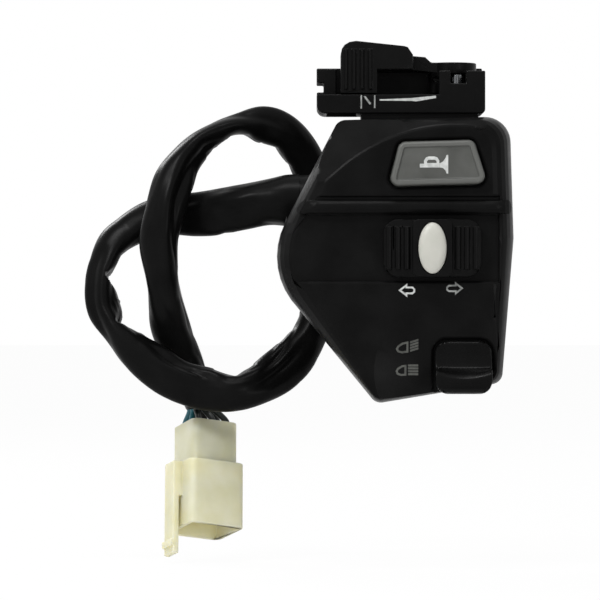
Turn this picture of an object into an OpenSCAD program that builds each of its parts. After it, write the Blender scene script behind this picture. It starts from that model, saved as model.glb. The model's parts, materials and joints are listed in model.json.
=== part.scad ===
// Left-hand handlebar switch cluster: horn, turn signal, beam and choke controls with their harness.
// Origin on the handlebar's axis. X runs along the bar, -Y faces the viewer, Z is up in the view.

/* [Handlebar] */
// Diameter of the handlebar that the case clamps
bar_d = 22.2; // [21.8:0.1:22.6]
// Length of each half-round seat along the bar
seat_w = 8; // [5:0.5:10]
// Wall of the half-round seats
seat_wall = 2.6; // [2:0.1:3]

/* [Case] */
// From the middle of the case to its left end
case_left = 33.3; // [32:0.1:36]
// From the middle of the case to its right end
case_right = 31.2; // [30:0.1:33]
// From the bar's axis to the top edge
case_top = 35; // [33.6:0.1:37]
// From the bar's axis to the bottom edge
case_bottom = 42.8; // [41.4:0.1:45]
// From the bar's axis to the front face
case_front = 26; // [25.5:0.1:28]
// From the bar's axis to the back
case_back = 21; // [20.5:0.1:23]
// Wall thickness of both halves
case_wall = 2.4; // [2:0.1:2.8]
// Radius of the bulging left and right sides
bulge_r = 20; // [16:0.5:24]
// Height of the left bulge's middle
bulge_z = -3; // [-5:0.5:0]
// Place of the upper left corner along the bar
top_left_x = -14.6; // [-16:0.1:-13]
// Radius of the upper right corner
top_right_r = 7; // [4:0.5:9]
// Place of the lower left corner along the bar
bottom_left_x = -5; // [-8:0.5:-2]
// Radius of the small corners
corner_r = 3.2; // [2.6:0.1:4]
// How much higher the lower right corner lies than the lower left one
bottom_rise = 5; // [2:0.1:5.5]
// Depth over which the sides round into the face
edge_depth = 11; // [8:0.5:13]
// Set-back of the flat face from the left side
face_in_left = 9; // [6:0.5:10]
// Set-back of the flat face from the right side
face_in_right = 5.6; // [4:0.1:6]
// Set-back of the flat face from the top
face_in_top = 2.6; // [1.5:0.1:3]
// Set-back of the flat face from the bottom
face_in_bottom = 1.6; // [1:0.1:3]
// Set-back of the flat back from the sides
back_in = 5; // [3:0.5:6]
// Radius of the ridge round the horn panel
ridge_r = 48; // [46:0.5:50]

/* [Case screws] */
// Thread diameter of the screws that clamp the halves
case_screw_d = 4; // [3.5:0.5:4.5]
// Head diameter of these screws
case_head_d = 7.2; // [6:0.1:7.6]
// Head height of these screws
case_head_h = 2.8; // [2:0.1:3.5]
// Depth of the screw heads below the back
case_head_depth = 6; // [4:0.5:8]
// Outer diameter of the brass inserts
insert_d = 5.8; // [5.4:0.1:6.2]
// Length of the brass inserts
insert_len = 9; // [6:0.5:11]

/* [Turn band] */
// Height of the recessed band
band_h = 17.9; // [17:0.1:18.2]
// Height of the band's middle
band_z = -0.85; // [-1.2:0.05:-0.5]
// Depth of the band
band_depth = 2; // [1:0.1:2.4]
// Right end of the band
band_right = 26.7; // [26:0.1:28]
// Diameter of the raised rib above the band
rib_d = 3.8; // [2.6:0.1:4]
// How far the rib stands out of the face
rib_rise = 1.3; // [0.6:0.1:1.6]
// Width and depth of the groove over the rib
groove_w = 0.7; // [0.4:0.1:1]

/* [Horn] */
// Middle of the horn button along the bar
horn_x = 10; // [9:0.1:10.5]
// Height of the horn button's middle
horn_z = 22.1; // [21.8:0.1:22.4]
// Width of the button's lower edge
horn_w_low = 25.4; // [22:0.1:26]
// Width of the button's upper edge
horn_w_high = 21.1; // [18:0.1:22]
// Height of the button
horn_h = 11.9; // [10:0.1:12.2]
// Corner radius of the button
horn_r = 2.2; // [1.8:0.1:3]
// Turn of the button in the face, in degrees
horn_turn = 1.6; // [0:0.1:3]
// How far the button stands out of the face
horn_rise = 3.5; // [2.6:0.1:4.5]
// Width of the rim round the sunken panel
horn_rim = 1.6; // [1:0.1:2]
// Depth of the sunken panel
horn_sink = 0.5; // [0.3:0.1:0.8]
// Travel of the button
horn_travel = 2.2; // [1:0.1:2.2]

/* [Turn slider] */
// Middle of the slider along the bar
turn_x = 8.7; // [7.5:0.1:9]
// Width of the slider
turn_w = 26.2; // [24:0.1:27]
// Height of the slider
turn_h = 15.5; // [14.8:0.1:16]
// Corner radius of the slider
turn_r = 4; // [2:0.1:5]
// How far the slider's wings stand out of the band
turn_rise = 4.2; // [3.6:0.1:5]
// How far the slider's middle stands out of its wings
turn_hub_rise = 1.4; // [0.8:0.1:2]
// Travel to each side
turn_travel = 3.5; // [2:0.1:4]
// Number of ribs on each wing
wing_ribs = 3; // [1:1:3]
// Diameter of the ribs
wing_rib_d = 1.7; // [1.2:0.1:2]

/* [Cancel button] */
// Width of the oval button
oval_w = 7.6; // [6.8:0.1:8]
// Height of the oval button
oval_h = 13.8; // [12:0.1:14]
// How far the oval button stands out of the slider
oval_rise = 1.5; // [1:0.1:2.2]
// Travel of the oval button
cancel_travel = 2; // [1:0.1:2]

/* [Beam rocker] */
// Middle of the rocker, counted from the right end of the case
rocker_in = 14.05; // [13.5:0.05:14.4]
// Width of the rocker's cap
rocker_w = 15.3; // [14.4:0.1:15.6]
// Corner radius of the rocker's cap
rocker_r = 3.5; // [2:0.1:4.5]
// Height of the pivot
pivot_z = -32; // [-32.2:0.1:-31.5]
// Pivot's depth behind the face
pivot_in = 6.5; // [6.3:0.1:7]
// Diameter of the pivot pin
pivot_d = 2.4; // [2:0.1:2.8]
// Swing between low and high beam, in degrees
rocker_swing = 16; // [8:1:16]
// Middle of the dish along the bar
dish_x = 12.4; // [11:0.1:13]
// Height of the dish's middle
dish_z = -34.3; // [-36:0.1:-33]
// Radius of the dish
dish_r = 19.4; // [17:0.1:20]
// Depth of the dish
dish_depth = 2.6; // [1.6:0.1:2.8]

/* [Choke] */
// Left end of the choke's rail
rail_left = -22.4; // [-24:0.1:-21.5]
// Right end of the rail
rail_right = 23.5; // [23:0.1:25]
// Bottom of the rail above the top edge of the case
rail_gap = 1; // [0.2:0.1:1.6]
// Height of the rail
rail_h = 5.2; // [5:0.1:7]
// Front of the rail, before the bar's axis
rail_front = 15; // [13:0.1:17]
// Back of the rail, behind the bar's axis
rail_back = 9.5; // [9.2:0.1:11]
// Pivot of the choke lever along the bar
choke_x = 15; // [14:0.1:15]
// Radius of the lever's hub
hub_r = 6.6; // [6:0.1:6.6]
// Height of the lever's hub
hub_h = 8.6; // [7.5:0.1:9]
// Thickness of the lever's arm
arm_t = 2.6; // [2:0.1:3]
// Left end of the lever's knob
knob_left = -15.9; // [-16.2:0.1:-14]
// Right end of the lever's knob
knob_right = 3.8; // [2:0.1:4.5]
// Height of the knob above its arm's underside
knob_h = 7.8; // [6.5:0.1:9]
// Diameter of the pivot screw's shoulder
choke_screw_d = 4; // [3.6:0.1:4.4]
// Diameter of the choke cable's end sleeve
cable_d = 5; // [4.4:0.1:5]

/* [Harness] */
// Diameter of the harness sleeve
sleeve_d = 10; // [9:0.1:10.4]
// Diameter of the grommet's neck
grommet_d = 8.8; // [7.6:0.1:9.2]
// Diameter of one wire
wire_d = 1.8; // [1.5:0.1:2]
// Side of the connector's square upper body
conn_w = 14.2; // [13:0.1:14.4]
// Height of the upper body
conn_h = 12; // [10:0.1:15]
// Side of the connector's square shroud
shroud_w = 17; // [16:0.1:18]
// Height of the shroud
shroud_h = 18.6; // [18:0.1:22]
// Wall of the shroud
shroud_wall = 1.3; // [1:0.1:1.5]
// Depth of the shroud's socket
socket_depth = 13; // [12:0.1:15]
// Pitch of the connector's terminals
terminal_pitch = 4.3; // [4:0.1:4.4]

/* [Fits] */
// Gap round pieces that press or slide
slide_gap = 0.35; // [0.25:0.05:0.4]
// Gap under pieces that rest on a face
rest_gap = 0.2; // [0.1:0.05:0.25]
// Radial gap of pins and screws in their holes
pin_gap = 0.06; // [0.03:0.01:0.1]

/* [Hidden] */
$fn = 48;

black = "#1c1c1e";
brass = "#b58a3c";
steel = "#9a9c9e";
board_brown = "#6a4a2c";

bar_r = bar_d / 2;
cut = 1;

// Outline of the case at the parting plane: discs as place, height and radius
case_discs = [
    [bulge_r - case_left, bulge_z, bulge_r],
    [top_left_x, case_top - 0.8 - corner_r, corner_r],
    [case_right - 0.8 - top_right_r, case_top - top_right_r, top_right_r],
    [case_right - bulge_r, bulge_z + 5, bulge_r],
    [case_right - 3 - corner_r, bottom_rise + corner_r - case_bottom, corner_r],
    [bottom_left_x, corner_r - case_bottom, corner_r]];

// How each disc shifts from the parting plane to the flat face, and to the flat back
face_shift = [
    [face_in_left, 0],
    [face_in_left / 3, -face_in_top],
    [-face_in_right, -face_in_top],
    [-face_in_right, 0],
    [2 - face_in_right, face_in_bottom],
    [0, face_in_bottom]];
back_shift = [
    [back_in, 0],
    [back_in / 2, -back_in],
    [-back_in, -back_in],
    [-back_in, 0],
    [-back_in, back_in],
    [0, back_in]];
round_steps = 7;
hull_fn = 40;

// Depths, counted along Y with the viewer on the negative side
face_y = -case_front;
inner_y = face_y + case_wall;
band_y = face_y + band_depth;
band_left = -case_left - cut;
rib_z = band_z + band_h / 2 + rib_d / 2 + 0.3;
groove_z = rib_z + rib_d / 2 + groove_w / 2;
band_back_y = band_y + case_wall - 0.2;
ridge_x = 14.9;
ridge_z = -15.7;
ridge_run = 13;

// Places of the case screws, as along the bar and height
case_screw_at = [[-13, 21.5], [6, -18.6]];
boss_wall = 1.3;
case_boss_r = insert_d / 2 + boss_wall;
head_boss_r = case_head_d / 2 + 0.3 + boss_wall;
head_seat_y = case_back - case_head_depth;
screw_tip_y = -insert_len - 1;

// Boards stand on bosses, with their screws at the left end
board_t = 1.5;
board_boss_r = 2.3;
board_screw_r = 1.05;
board_head_r = 2.1;
board_head_h = 1.3;
horn_board_y = -13.2;
turn_board_y = -15.2;
beam_reach = 13;
beam_board_y = face_y + pivot_in + beam_reach;
board_edge = 2.8;
turn_z = band_z;
horn_screw_at = [[-7.5, horn_z - 3.6], [-7.5, horn_z + 3.6]];
turn_screw_at = [[-9.5, turn_z - 4.3], [-9.5, turn_z + 4.3]];
beam_screw_at = [[3, pivot_z - 0.8], [3, pivot_z + 6.2]];

// Horn depths
horn_front_y = face_y - horn_rise;
horn_flange = 1.3;
horn_flange_y = inner_y + rest_gap / 2;
horn_flange_t = 1.2;
horn_spring_y = face_y - 0.6;
horn_leg = 7;
horn_head_y = horn_board_y - 0.6;
horn_contact_t = 0.5;
horn_contact_y = horn_head_y - horn_travel - rest_gap - horn_contact_t;
horn_spring_r = 3;

// Turn slider depths
slider_y = band_y - rest_gap;
wing_y = band_y - turn_rise;
turn_hub_y = wing_y - turn_hub_rise;
stem_w = 10;
stem_h = 8;
stem_end_y = band_back_y + 2.4;
carrier_y = [band_back_y + 0.3, band_back_y + 3.9];
carrier_w = 20;
carrier_h = 11;
detent_x = turn_x - 7;
detent_r = 1.05;
detent_out = 0.6;
contact_t = 0.5;
turn_contact_w = 17;
turn_contact_h = 9.2;
turn_finger_x = 6;
turn_head_y = turn_board_y - 0.7;

// Oval button depths
oval_front_y = turn_hub_y - oval_rise;
oval_back_y = oval_front_y + 3;
oval_floor_y = oval_back_y + cancel_travel + rest_gap;
cancel_seat_y = oval_floor_y + 3.4;
cancel_stem_r = 1.5;
cancel_spring_r = 2.05;
cancel_clip_y = stem_end_y + 0.1;
cancel_clip_t = 0.5;
cancel_clip_r = 2.7;

// Beam rocker: its pivot, its pocket, the tail with the plunger and the cap's outline about the pivot
rocker_x = case_right - rocker_in;
pivot_y = face_y + pivot_in;
pocket_y = pivot_y - 2.9;
pocket_wall = 2;
neck_w = 11;
neck_h = 6.4;
neck_turn = -rocker_swing / 2;
tail_len = 10;
tail_r = 2.4;
plunger_r = 1.35;
plunger_in = 6;
plunger_spring_in = 3.2;
ear_t = 2.4;
ear_gap = 0.4;
nose_drop = tail_len * sin(rocker_swing / 2);
detent_y = pivot_y + tail_len + plunger_r + 0.15;
detent_w = 3.2;
wiper_y = [4.2, 7, 12];
wiper_w = [2.8, 3.4];
wiper_h = 1;
beam_head_y = beam_board_y - 0.7;
rocker_top = 6.1;
rocker_low = -8.2;
pad_out = 7;
lip_out = 11.3;

// Choke: heights of the rail, the arm and the hub
rail_z = case_top + rail_gap;
rail_top = rail_z + rail_h;
thrust_z = rail_top + 0.4;
hub_z = thrust_z + rest_gap;
hub_top = hub_z + hub_h;
arm_z = hub_top - arm_t + 0.2;
knob_z = rail_top + slide_gap;
knob_top = arm_z + knob_h;
knob_y = [-rail_front, -4];
arm_y = [-5, 4];
post_w = 5.4;
post_y = [-9, 0];
post_top = arm_z + 0.4;
wall_top = arm_z + 1.4;
wall_t = 2.2;
cheek_h = 5.6;
cheek_t = 1.6;
guard_x = 10.9;
guard_t = 2;
guard_top = arm_z - slide_gap;
pedestal_in = [12, 2];
cable_y = -4.5;
cable_z = rail_top + 2.1;
cable_seat = 3.9;
notch_h = 2.6;
notch_in = 1.9;
choke_screw_r = choke_screw_d / 2;
choke_head_r = 3.1;
choke_head_h = 1.8;
choke_seat_z = hub_top - choke_head_h - 0.6;
barrel_r = 1.5;
barrel_x = choke_x + 1.2;
barrel_y = -4.6;
barrel_z = [hub_top - 6.2, choke_seat_z - 0.8];
pocket_half = barrel_r + 0.7;
bracket_screw_at = [[-7, -7], [5, -7]];
bracket_screw_r = 1.3;
bracket_head_r = 2.6;
bracket_head_h = 2.2;
bracket_seat_z = case_top - case_wall - 0.4;

// Harness outlet in the rear case and the grommet in it
outlet_y = 13;
outlet_z = 13;
outlet_face = 2.3 - case_left;
outlet_len = 10.5;
outlet_inner = outlet_face + outlet_len;
outlet_boss_r = 7;
grommet_r = grommet_d / 2;
grommet_flange = 1;
flange_t = 1.6;
flange_room = 0.4;
collar_len = 4;
grommet_wall = 1.2;

// Middle line of the harness sleeve, from the grommet round the loop to the connector
sleeve_route = [
    [outlet_face - collar_len - rest_gap, outlet_y, outlet_z], [-40.5, 13, 12.8], [-45.8, 14, 12],
    [-51.2, 16.4, 11], [-56.8, 19.8, 10.2], [-62.7, 22.8, 9.6], [-68.6, 24.8, 8], [-73.9, 25.6, 4.8],
    [-78.2, 25.4, 0.2], [-81, 24.8, -5.4], [-82, 23.6, -11.7], [-81, 22, -17.9], [-77.9, 20.4, -23.6],
    [-73, 18.6, -28.8], [-66.8, 17, -33.2], [-60.2, 16, -36.8], [-53.2, 15.6, -39], [-46.2, 16.2, -39.4],
    [-39.6, 18, -37.8], [-34, 20.8, -34.4], [-28.8, 24.2, -29.4], [-24, 27.2, -22.4], [-20.2, 29, -12.2],
    [-19, 29, -1], [-20.4, 28.6, 10.6], [-24.5, 27.4, 21.8], [-28.1, 26, 27.4], [-33, 24.4, 31.5],
    [-38.8, 22.8, 33.8], [-45.1, 21, 34.1], [-51.1, 19, 32.5], [-56.4, 16.8, 29.1], [-60.3, 14.4, 24.2],
    [-62.6, 12, 18.4], [-64, 10.4, 10.6], [-64.8, 11.2, 0.6], [-64.2, 16.4, -11], [-62.2, 23.8, -22.4],
    [-59.2, 28.8, -33.4], [-55.6, 30, -44.5]];
route_steps = 2;
sleeve_sides = 10;
wire_sides = 8;

// Connector: place of its top, its turn about its own axis and its lean toward the viewer
conn_at = [-53.7, 30, -50.4];
conn_turn = 27;
conn_lean = -17;
cavity_r = 1.55;
tab_w = 2.4;
tab_t = 0.8;
tab_in = 7.5;
latch_w = 6;
latch_t = 1.7;
latch_gap = 1;
latch_len = 8;
latch_root = 10;
latch_hook = 0.8;
wire_pitch = 2.2;
wire_start = 0.8;
wire_lead = 0.7;

// Wires inside the case, from each board into the grommet
wire_spread = [for (a = [90, 210, 330]) 1.9 * [0, cos(a), sin(a)]];
inner_starts = [
    [[-3, horn_board_y + 2.5, horn_z - 4.6], [-6.5, -9.2, 14.6], [-12, -7, 14.4], [-16, 0, 15.2],
        [-14.5, 7, 15.3]],
    [[-4, turn_board_y + 2.6, turn_z + 5], [-8.5, -12, 8.2], [-14, -10, 11], [-17, -2, 13],
        [-15.5, 7, 12.4]],
    [[0, beam_board_y + 2.5, pivot_z + 3], [-6, 5, -24], [-12, 12, -15], [-16, 15.5, -2], [-15, 15, 7]]];
inner_routes = [for (i = [0 : len(inner_starts) - 1]) concat(inner_starts[i],
    [for (x = [4, -1.5]) [outlet_inner + x, outlet_y, outlet_z] + wire_spread[i]])];

// Curves and tubes
function unit(v) = v / norm(v);
function spline(a, b, c, d, t) =
    0.5 * (2 * b + (c - a) * t + (2 * a - 5 * b + 4 * c - d) * t * t + (3 * b - a - 3 * c + d) * t * t * t);
function curve(p, steps) = let (n = len(p)) concat(
    [for (i = [0 : n - 2], s = [0 : steps - 1])
        spline(i > 0 ? p[i - 1] : 2 * p[0] - p[1], p[i], p[i + 1],
            i < n - 2 ? p[i + 2] : 2 * p[n - 1] - p[n - 2], s / steps)],
    [p[n - 1]]);
function tangents(p) = let (n = len(p))
    [for (i = [0 : n - 1]) unit(p[min(i + 1, n - 1)] - p[max(i - 1, 0)])];
function across(t) = unit(cross(t, abs(t.z) < 0.9 ? [0, 0, 1] : [0, 1, 0]));
function normals(t) =
    [for (i = 0, n = across(t[0]); i < len(t);
        i = i + 1, n = i < len(t) ? unit(n - (n * t[i]) * t[i]) : n) n];

// Least gap of a tube to itself, between points that lie more than three diameters apart along it
function self_gap(p, d, apart) =
    min([for (i = [0 : len(p) - 1], k = [i + apart : 1 : len(p) - 1]) norm(p[i] - p[k])]) - d;
echo(sleeve_self_gap = self_gap(curve(sleeve_route, route_steps), sleeve_d, 12));

module tube(p, r, sides) {
    t = tangents(p);
    n = normals(t);
    rings = [for (i = [0 : len(p) - 1], k = [0 : sides - 1])
        p[i] + r * (cos(360 * k / sides) * n[i] + sin(360 * k / sides) * cross(t[i], n[i]))];
    last = (len(p) - 1) * sides;
    faces = concat(
        [[for (k = [0 : sides - 1]) k]],
        [for (i = [0 : len(p) - 2], k = [0 : sides - 1])
            [i * sides + k, (i + 1) * sides + k, (i + 1) * sides + (k + 1) % sides]],
        [for (i = [0 : len(p) - 2], k = [0 : sides - 1])
            [i * sides + k, (i + 1) * sides + (k + 1) % sides, i * sides + (k + 1) % sides]],
        [[for (k = [0 : sides - 1]) last + sides - 1 - k]]);
    polyhedron(points = rings, faces = faces);
}

// Compression spring of mean radius r that fills the length between its ends
module spring(r, wire, length, turns) {
    steps = 8 * turns;
    rise = (length - wire - 0.1) / steps;
    tube([for (i = [0 : steps])
        [r * cos(45 * i), r * sin(45 * i), wire / 2 + 0.05 + rise * i]], wire / 2, 6);
}

// Rods along each axis, boxes from low to high, and flat shapes given thickness along the view
module rod_x(r, x0, x1, y, z) translate([x0, y, z]) rotate([0, 90, 0]) cylinder(r = r, h = x1 - x0);
module rod_y(r, y0, y1, x, z) translate([x, y1, z]) rotate([90, 0, 0]) cylinder(r = r, h = y1 - y0);
module rod_z(r, z0, z1, x, y) translate([x, y, z0]) cylinder(r = r, h = z1 - z0);
module box(x, y, z)
    translate([x[0], y[0], z[0]]) cube([x[1] - x[0], y[1] - y[0], z[1] - z[0]]);
module plate(y0, y1) translate([0, y1, 0]) rotate([90, 0, 0]) linear_extrude(y1 - y0) children();
module round_rect(w, h, r) {
    square([w - 2 * r, h], center = true);
    square([w, h - 2 * r], center = true);
    for (x = [-1, 1], z = [-1, 1])
        translate([x * (w / 2 - r), z * (h / 2 - r)]) circle(r);
}

// One half of the case as a solid, thinner all round by shrink and carried past the parting plane by open
function disc_rings(shift, blend, shrink, y) =
    [for (i = [0 : len(case_discs) - 1], k = [0 : hull_fn - 1])
        let (d = case_discs[i], a = 360 * k / hull_fn)
            [d.x + blend * shift[i].x + (d.z - shrink) * cos(a), y,
                d.y + blend * shift[i].y + (d.z - shrink) * sin(a)]];
module case_half(way, depth, edge, shift, shrink, open) {
    rings = concat(disc_rings(shift, 0, shrink, -way * open),
        [for (s = [0 : round_steps])
            let (turn = 90 * s / round_steps)
                each disc_rings(shift, 1 - cos(turn), shrink, way * (depth - edge + edge * sin(turn)))]);
    hull() polyhedron(points = rings, faces = [[for (i = [0 : len(rings) - 1]) i]]);
}

// Cone that leaves the ridge round the horn panel
module ridge(grow)
    translate([ridge_x, 0, ridge_z]) rotate([90, 0, 0]) rotate_extrude($fn = 96)
        polygon([[0, -cut], [ridge_r + ridge_run + grow, -cut],
            [ridge_r + ridge_run + grow, case_front - ridge_run],
            [ridge_r + grow - 4, case_front + 4], [0, case_front + 4]]);

module bar_seats(r)
    for (x = [[-case_left, seat_w - case_left], [case_right - seat_w, case_right]])
        rod_x(r, x[0], x[1], 0, 0);

module dish(grow)
    let (r = (dish_r * dish_r + dish_depth * dish_depth) / (2 * dish_depth))
        translate([dish_x, face_y + dish_depth - r, dish_z]) sphere(r + grow, $fn = 96);

module band_shape(grow)
    translate([band_left - grow, band_z - band_h / 2 - grow])
        square([band_right - band_left + 2 * grow, band_h + 2 * grow]);

module horn_shape(grow)
    translate([horn_x, horn_z]) rotate(horn_turn) hull()
        for (s = [-1, 1]) {
            translate([s * (horn_w_low / 2 - horn_r), horn_r - horn_h / 2])
                circle(horn_r + grow, $fn = hull_fn);
            translate([s * (horn_w_high / 2 - horn_r), horn_h / 2 - horn_r])
                circle(horn_r + grow, $fn = hull_fn);
        }

module oval_shape(grow)
    let (steps = 48)
        translate([turn_x, turn_z])
            polygon([for (i = [0 : steps - 1])
                [(oval_w / 2 + grow) * cos(360 * i / steps), (oval_h / 2 + grow) * sin(360 * i / steps)]]);

module at_pivot(angle) translate([rocker_x, pivot_y, pivot_z]) rotate([angle, 0, 0]) children();
module at_connector() translate(conn_at) rotate([conn_lean, 0, 0]) rotate([0, 0, conn_turn]) children();
function turned(p) =
    [p.x * cos(conn_turn) - p.y * sin(conn_turn), p.x * sin(conn_turn) + p.y * cos(conn_turn)];
function conn_point(p) = let (q = turned(p))
    conn_at + [q.x, q.y * cos(conn_lean) - p.z * sin(conn_lean), q.y * sin(conn_lean) + p.z * cos(conn_lean)];

// What stays solid inside the front half: seats, backs of the recesses, bosses and ears
module front_inside() {
    bar_seats(bar_r + seat_wall);
    plate(face_y, band_back_y) band_shape(case_wall);
    dish(case_wall);
    for (p = case_screw_at) rod_y(case_boss_r, face_y, 0, p.x, p.y);
    for (p = horn_screw_at) rod_y(board_boss_r, face_y, horn_board_y, p.x, p.y);
    for (p = turn_screw_at) rod_y(board_boss_r, face_y, turn_board_y, p.x, p.y);
    for (p = beam_screw_at) rod_y(board_boss_r, face_y, beam_board_y, p.x, p.y);
    box([rocker_x - rocker_w / 2 - case_wall, case_right], [face_y, pocket_y + pocket_wall],
        [-case_bottom, pivot_z + rocker_top + case_wall]);
    for (s = [-1, 1])
        let (x = rocker_x + s * (neck_w / 2 + ear_gap + ear_t / 2))
            box([x - ear_t / 2, x + ear_t / 2], [pocket_y, pivot_y + pivot_d / 2 + 1.6],
                [pivot_z - 3, pivot_z + 3]);
    detent_rail();
}

module detent_rail()
    let (z = turn_z + carrier_h / 2 + detent_out + 0.15, reach = turn_travel + 3)
        difference() {
            box([detent_x - reach, detent_x + reach], [band_y, carrier_y[1]], [z, z + 2]);
            for (x = [-turn_travel, 0, turn_travel])
                rod_y(detent_r, band_back_y, carrier_y[1] + cut, detent_x + x, z);
        }

module front_openings() {
    rod_x(bar_r, -case_left - cut, case_right + cut, 0, 0);
    plate(face_y - cut - rib_rise, band_y) band_shape(0);
    dish(0);
    plate(face_y - cut, inner_y + cut) horn_shape(slide_gap);
    plate(inner_y, horn_board_y) horn_shape(horn_flange + 2 * slide_gap);
    box([turn_x - stem_w / 2 - turn_travel - slide_gap, turn_x + stem_w / 2 + turn_travel + slide_gap],
        [band_y - cut, band_back_y + cut],
        [turn_z - stem_h / 2 - slide_gap, turn_z + stem_h / 2 + slide_gap]);
    rocker_pocket();
    box([band_left, band_right], [face_y - cut, face_y + groove_w],
        [groove_z - groove_w / 2, groove_z + groove_w / 2]);
    for (p = case_screw_at) {
        rod_y(insert_d / 2, -insert_len, cut, p.x, p.y);
        rod_y(case_screw_d / 2 + pin_gap, screw_tip_y - cut, 0, p.x, p.y);
    }
    board_pilots(horn_screw_at, horn_board_y);
    board_pilots(turn_screw_at, turn_board_y);
    board_pilots(beam_screw_at, beam_board_y);
    for (p = bracket_screw_at) {
        rod_z(bracket_screw_r + 0.2, case_top - 2 * case_wall, rail_z + cut, p.x, p.y);
        rod_z(bracket_head_r + slide_gap, bracket_seat_z - bracket_head_h - cut, bracket_seat_z, p.x, p.y);
    }
}

module board_pilots(places, y)
    for (p = places) rod_y(board_screw_r + pin_gap, y - 4.5, y + cut, p.x, p.y);

module rocker_pocket() {
    w = rocker_w + 2 * slide_gap;
    top = pivot_z + rocker_top + slide_gap;
    plate(face_y - cut, pocket_y) {
        translate([rocker_x, top - w / 2]) round_rect(w, w, rocker_r);
        translate([rocker_x - w / 2, -case_bottom - cut]) square([w, top - w / 2 + case_bottom + cut]);
    }
    box([rocker_x - neck_w / 2 - slide_gap, rocker_x + neck_w / 2 + slide_gap],
        [pocket_y - cut, pivot_y + 3], [pivot_z - neck_h / 2 - 0.9, pivot_z + neck_h / 2 + 0.9]);
    rod_x(pivot_d / 2 + pin_gap / 2, rocker_x - neck_w / 2 - ear_gap - ear_t,
        rocker_x + neck_w / 2 + ear_gap + ear_t, pivot_y, pivot_z);
}

module front_case() {
    color(black) difference() {
        union() {
            difference() {
                intersection() {
                    case_half(-1, case_front, edge_depth, face_shift, 0, 0);
                    ridge(0);
                }
                difference() {
                    intersection() {
                        case_half(-1, case_front - case_wall, edge_depth, face_shift, case_wall, cut);
                        ridge(-1.4 * case_wall);
                    }
                    front_inside();
                }
            }
            intersection() {
                case_half(-1, case_front + rib_rise, edge_depth, face_shift, -rib_rise / 2, 0);
                rod_x(rib_d / 2, -case_left, case_right, face_y - rib_rise + rib_d / 2, rib_z);
            }
            choke_pedestal();
        }
        front_openings();
    }
}

// Flat pad on the top edge that carries the choke's rail
module choke_pedestal()
    box([rail_left + pedestal_in[0], rail_right - pedestal_in[1]], [1 - rail_front, 0],
        [case_top - case_wall, rail_z]);

module rear_case() {
    color(black) difference() {
        union() {
            difference() {
                case_half(1, case_back, edge_depth, back_shift, 0, 0);
                difference() {
                    case_half(1, case_back - case_wall, edge_depth, back_shift, case_wall, cut);
                    bar_seats(bar_r + seat_wall);
                    for (p = case_screw_at) rod_y(head_boss_r, 0, case_back, p.x, p.y);
                }
            }
            rod_x(outlet_boss_r, outlet_face, outlet_inner, outlet_y, outlet_z);
        }
        rod_x(bar_r, -case_left - cut, case_right + cut, 0, 0);
        rod_x(grommet_r + pin_gap, outlet_face - cut, outlet_inner + cut, outlet_y, outlet_z);
        rod_x(grommet_r + grommet_flange + flange_room, outlet_inner, outlet_inner + flange_t + cut,
            outlet_y, outlet_z);
        for (p = case_screw_at) {
            rod_y(case_screw_d / 2 + pin_gap, -cut, case_back, p.x, p.y);
            rod_y(case_head_d / 2 + 0.3, head_seat_y, case_back + cut, p.x, p.y);
        }
    }
}

module case_screws() {
    color(steel) for (p = case_screw_at) difference() {
        union() {
            rod_y(case_screw_d / 2, screw_tip_y, head_seat_y + 0.2, p.x, p.y);
            rod_y(case_head_d / 2, head_seat_y, head_seat_y + case_head_h, p.x, p.y);
        }
        cross_slot(p, head_seat_y + case_head_h);
    }
}

module cross_slot(p, y)
    for (a = [0, 90]) translate([p.x, y, p.y]) rotate([0, a, 0])
        box([-1.9, 1.9], [-1.2, cut], [-0.4, 0.4]);

module case_inserts() {
    color(brass) for (p = case_screw_at) difference() {
        rod_y(insert_d / 2, -insert_len, 0, p.x, p.y);
        rod_y(case_screw_d / 2 + pin_gap, -insert_len - cut, cut, p.x, p.y);
    }
}

module harness_grommet() {
    color("#202022") difference() {
        union() {
            rod_x(sleeve_d / 2 + 0.4, outlet_face - collar_len, outlet_face, outlet_y, outlet_z);
            rod_x(grommet_r, outlet_face, outlet_inner, outlet_y, outlet_z);
            rod_x(grommet_r + grommet_flange, outlet_inner, outlet_inner + flange_t, outlet_y, outlet_z);
        }
        rod_x(grommet_r - grommet_wall, outlet_face, outlet_inner + flange_t + cut, outlet_y, outlet_z);
    }
}

module harness_sleeve() {
    color("#1a1a1c") tube(curve(sleeve_route, route_steps), sleeve_d / 2, sleeve_sides);
}

// One wire from the sleeve's end into a cavity of the connector, as a column and a row of the grid
module tail_wire(column, row) {
    last = len(sleeve_route) - 1;
    way = unit(sleeve_route[last] - sleeve_route[last - 1]);
    side = unit(cross(way, [0, 1, 0]));
    place = wire_pitch * turned([column, row]);
    start = sleeve_route[last] + place.x * side - place.y * cross(way, side);
    hole = terminal_pitch * [column, row, 0];
    tube(curve([start + wire_start * way, start + (wire_start + wire_lead) * way,
        conn_point(hole + [0, 0, 0.8]), conn_point(hole - [0, 0, 2.8])], 3), wire_d / 2, wire_sides);
}

module tail_wires_blue() {
    color("#2f7f9e") for (row = [0, 1]) tail_wire(-1, row);
}

module tail_wires_dark() {
    color("#2a2c2a") for (p = [[-1, -1], [0, -1], [0, 0], [0, 1], [1, -1], [1, 0]]) tail_wire(p.x, p.y);
}

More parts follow.
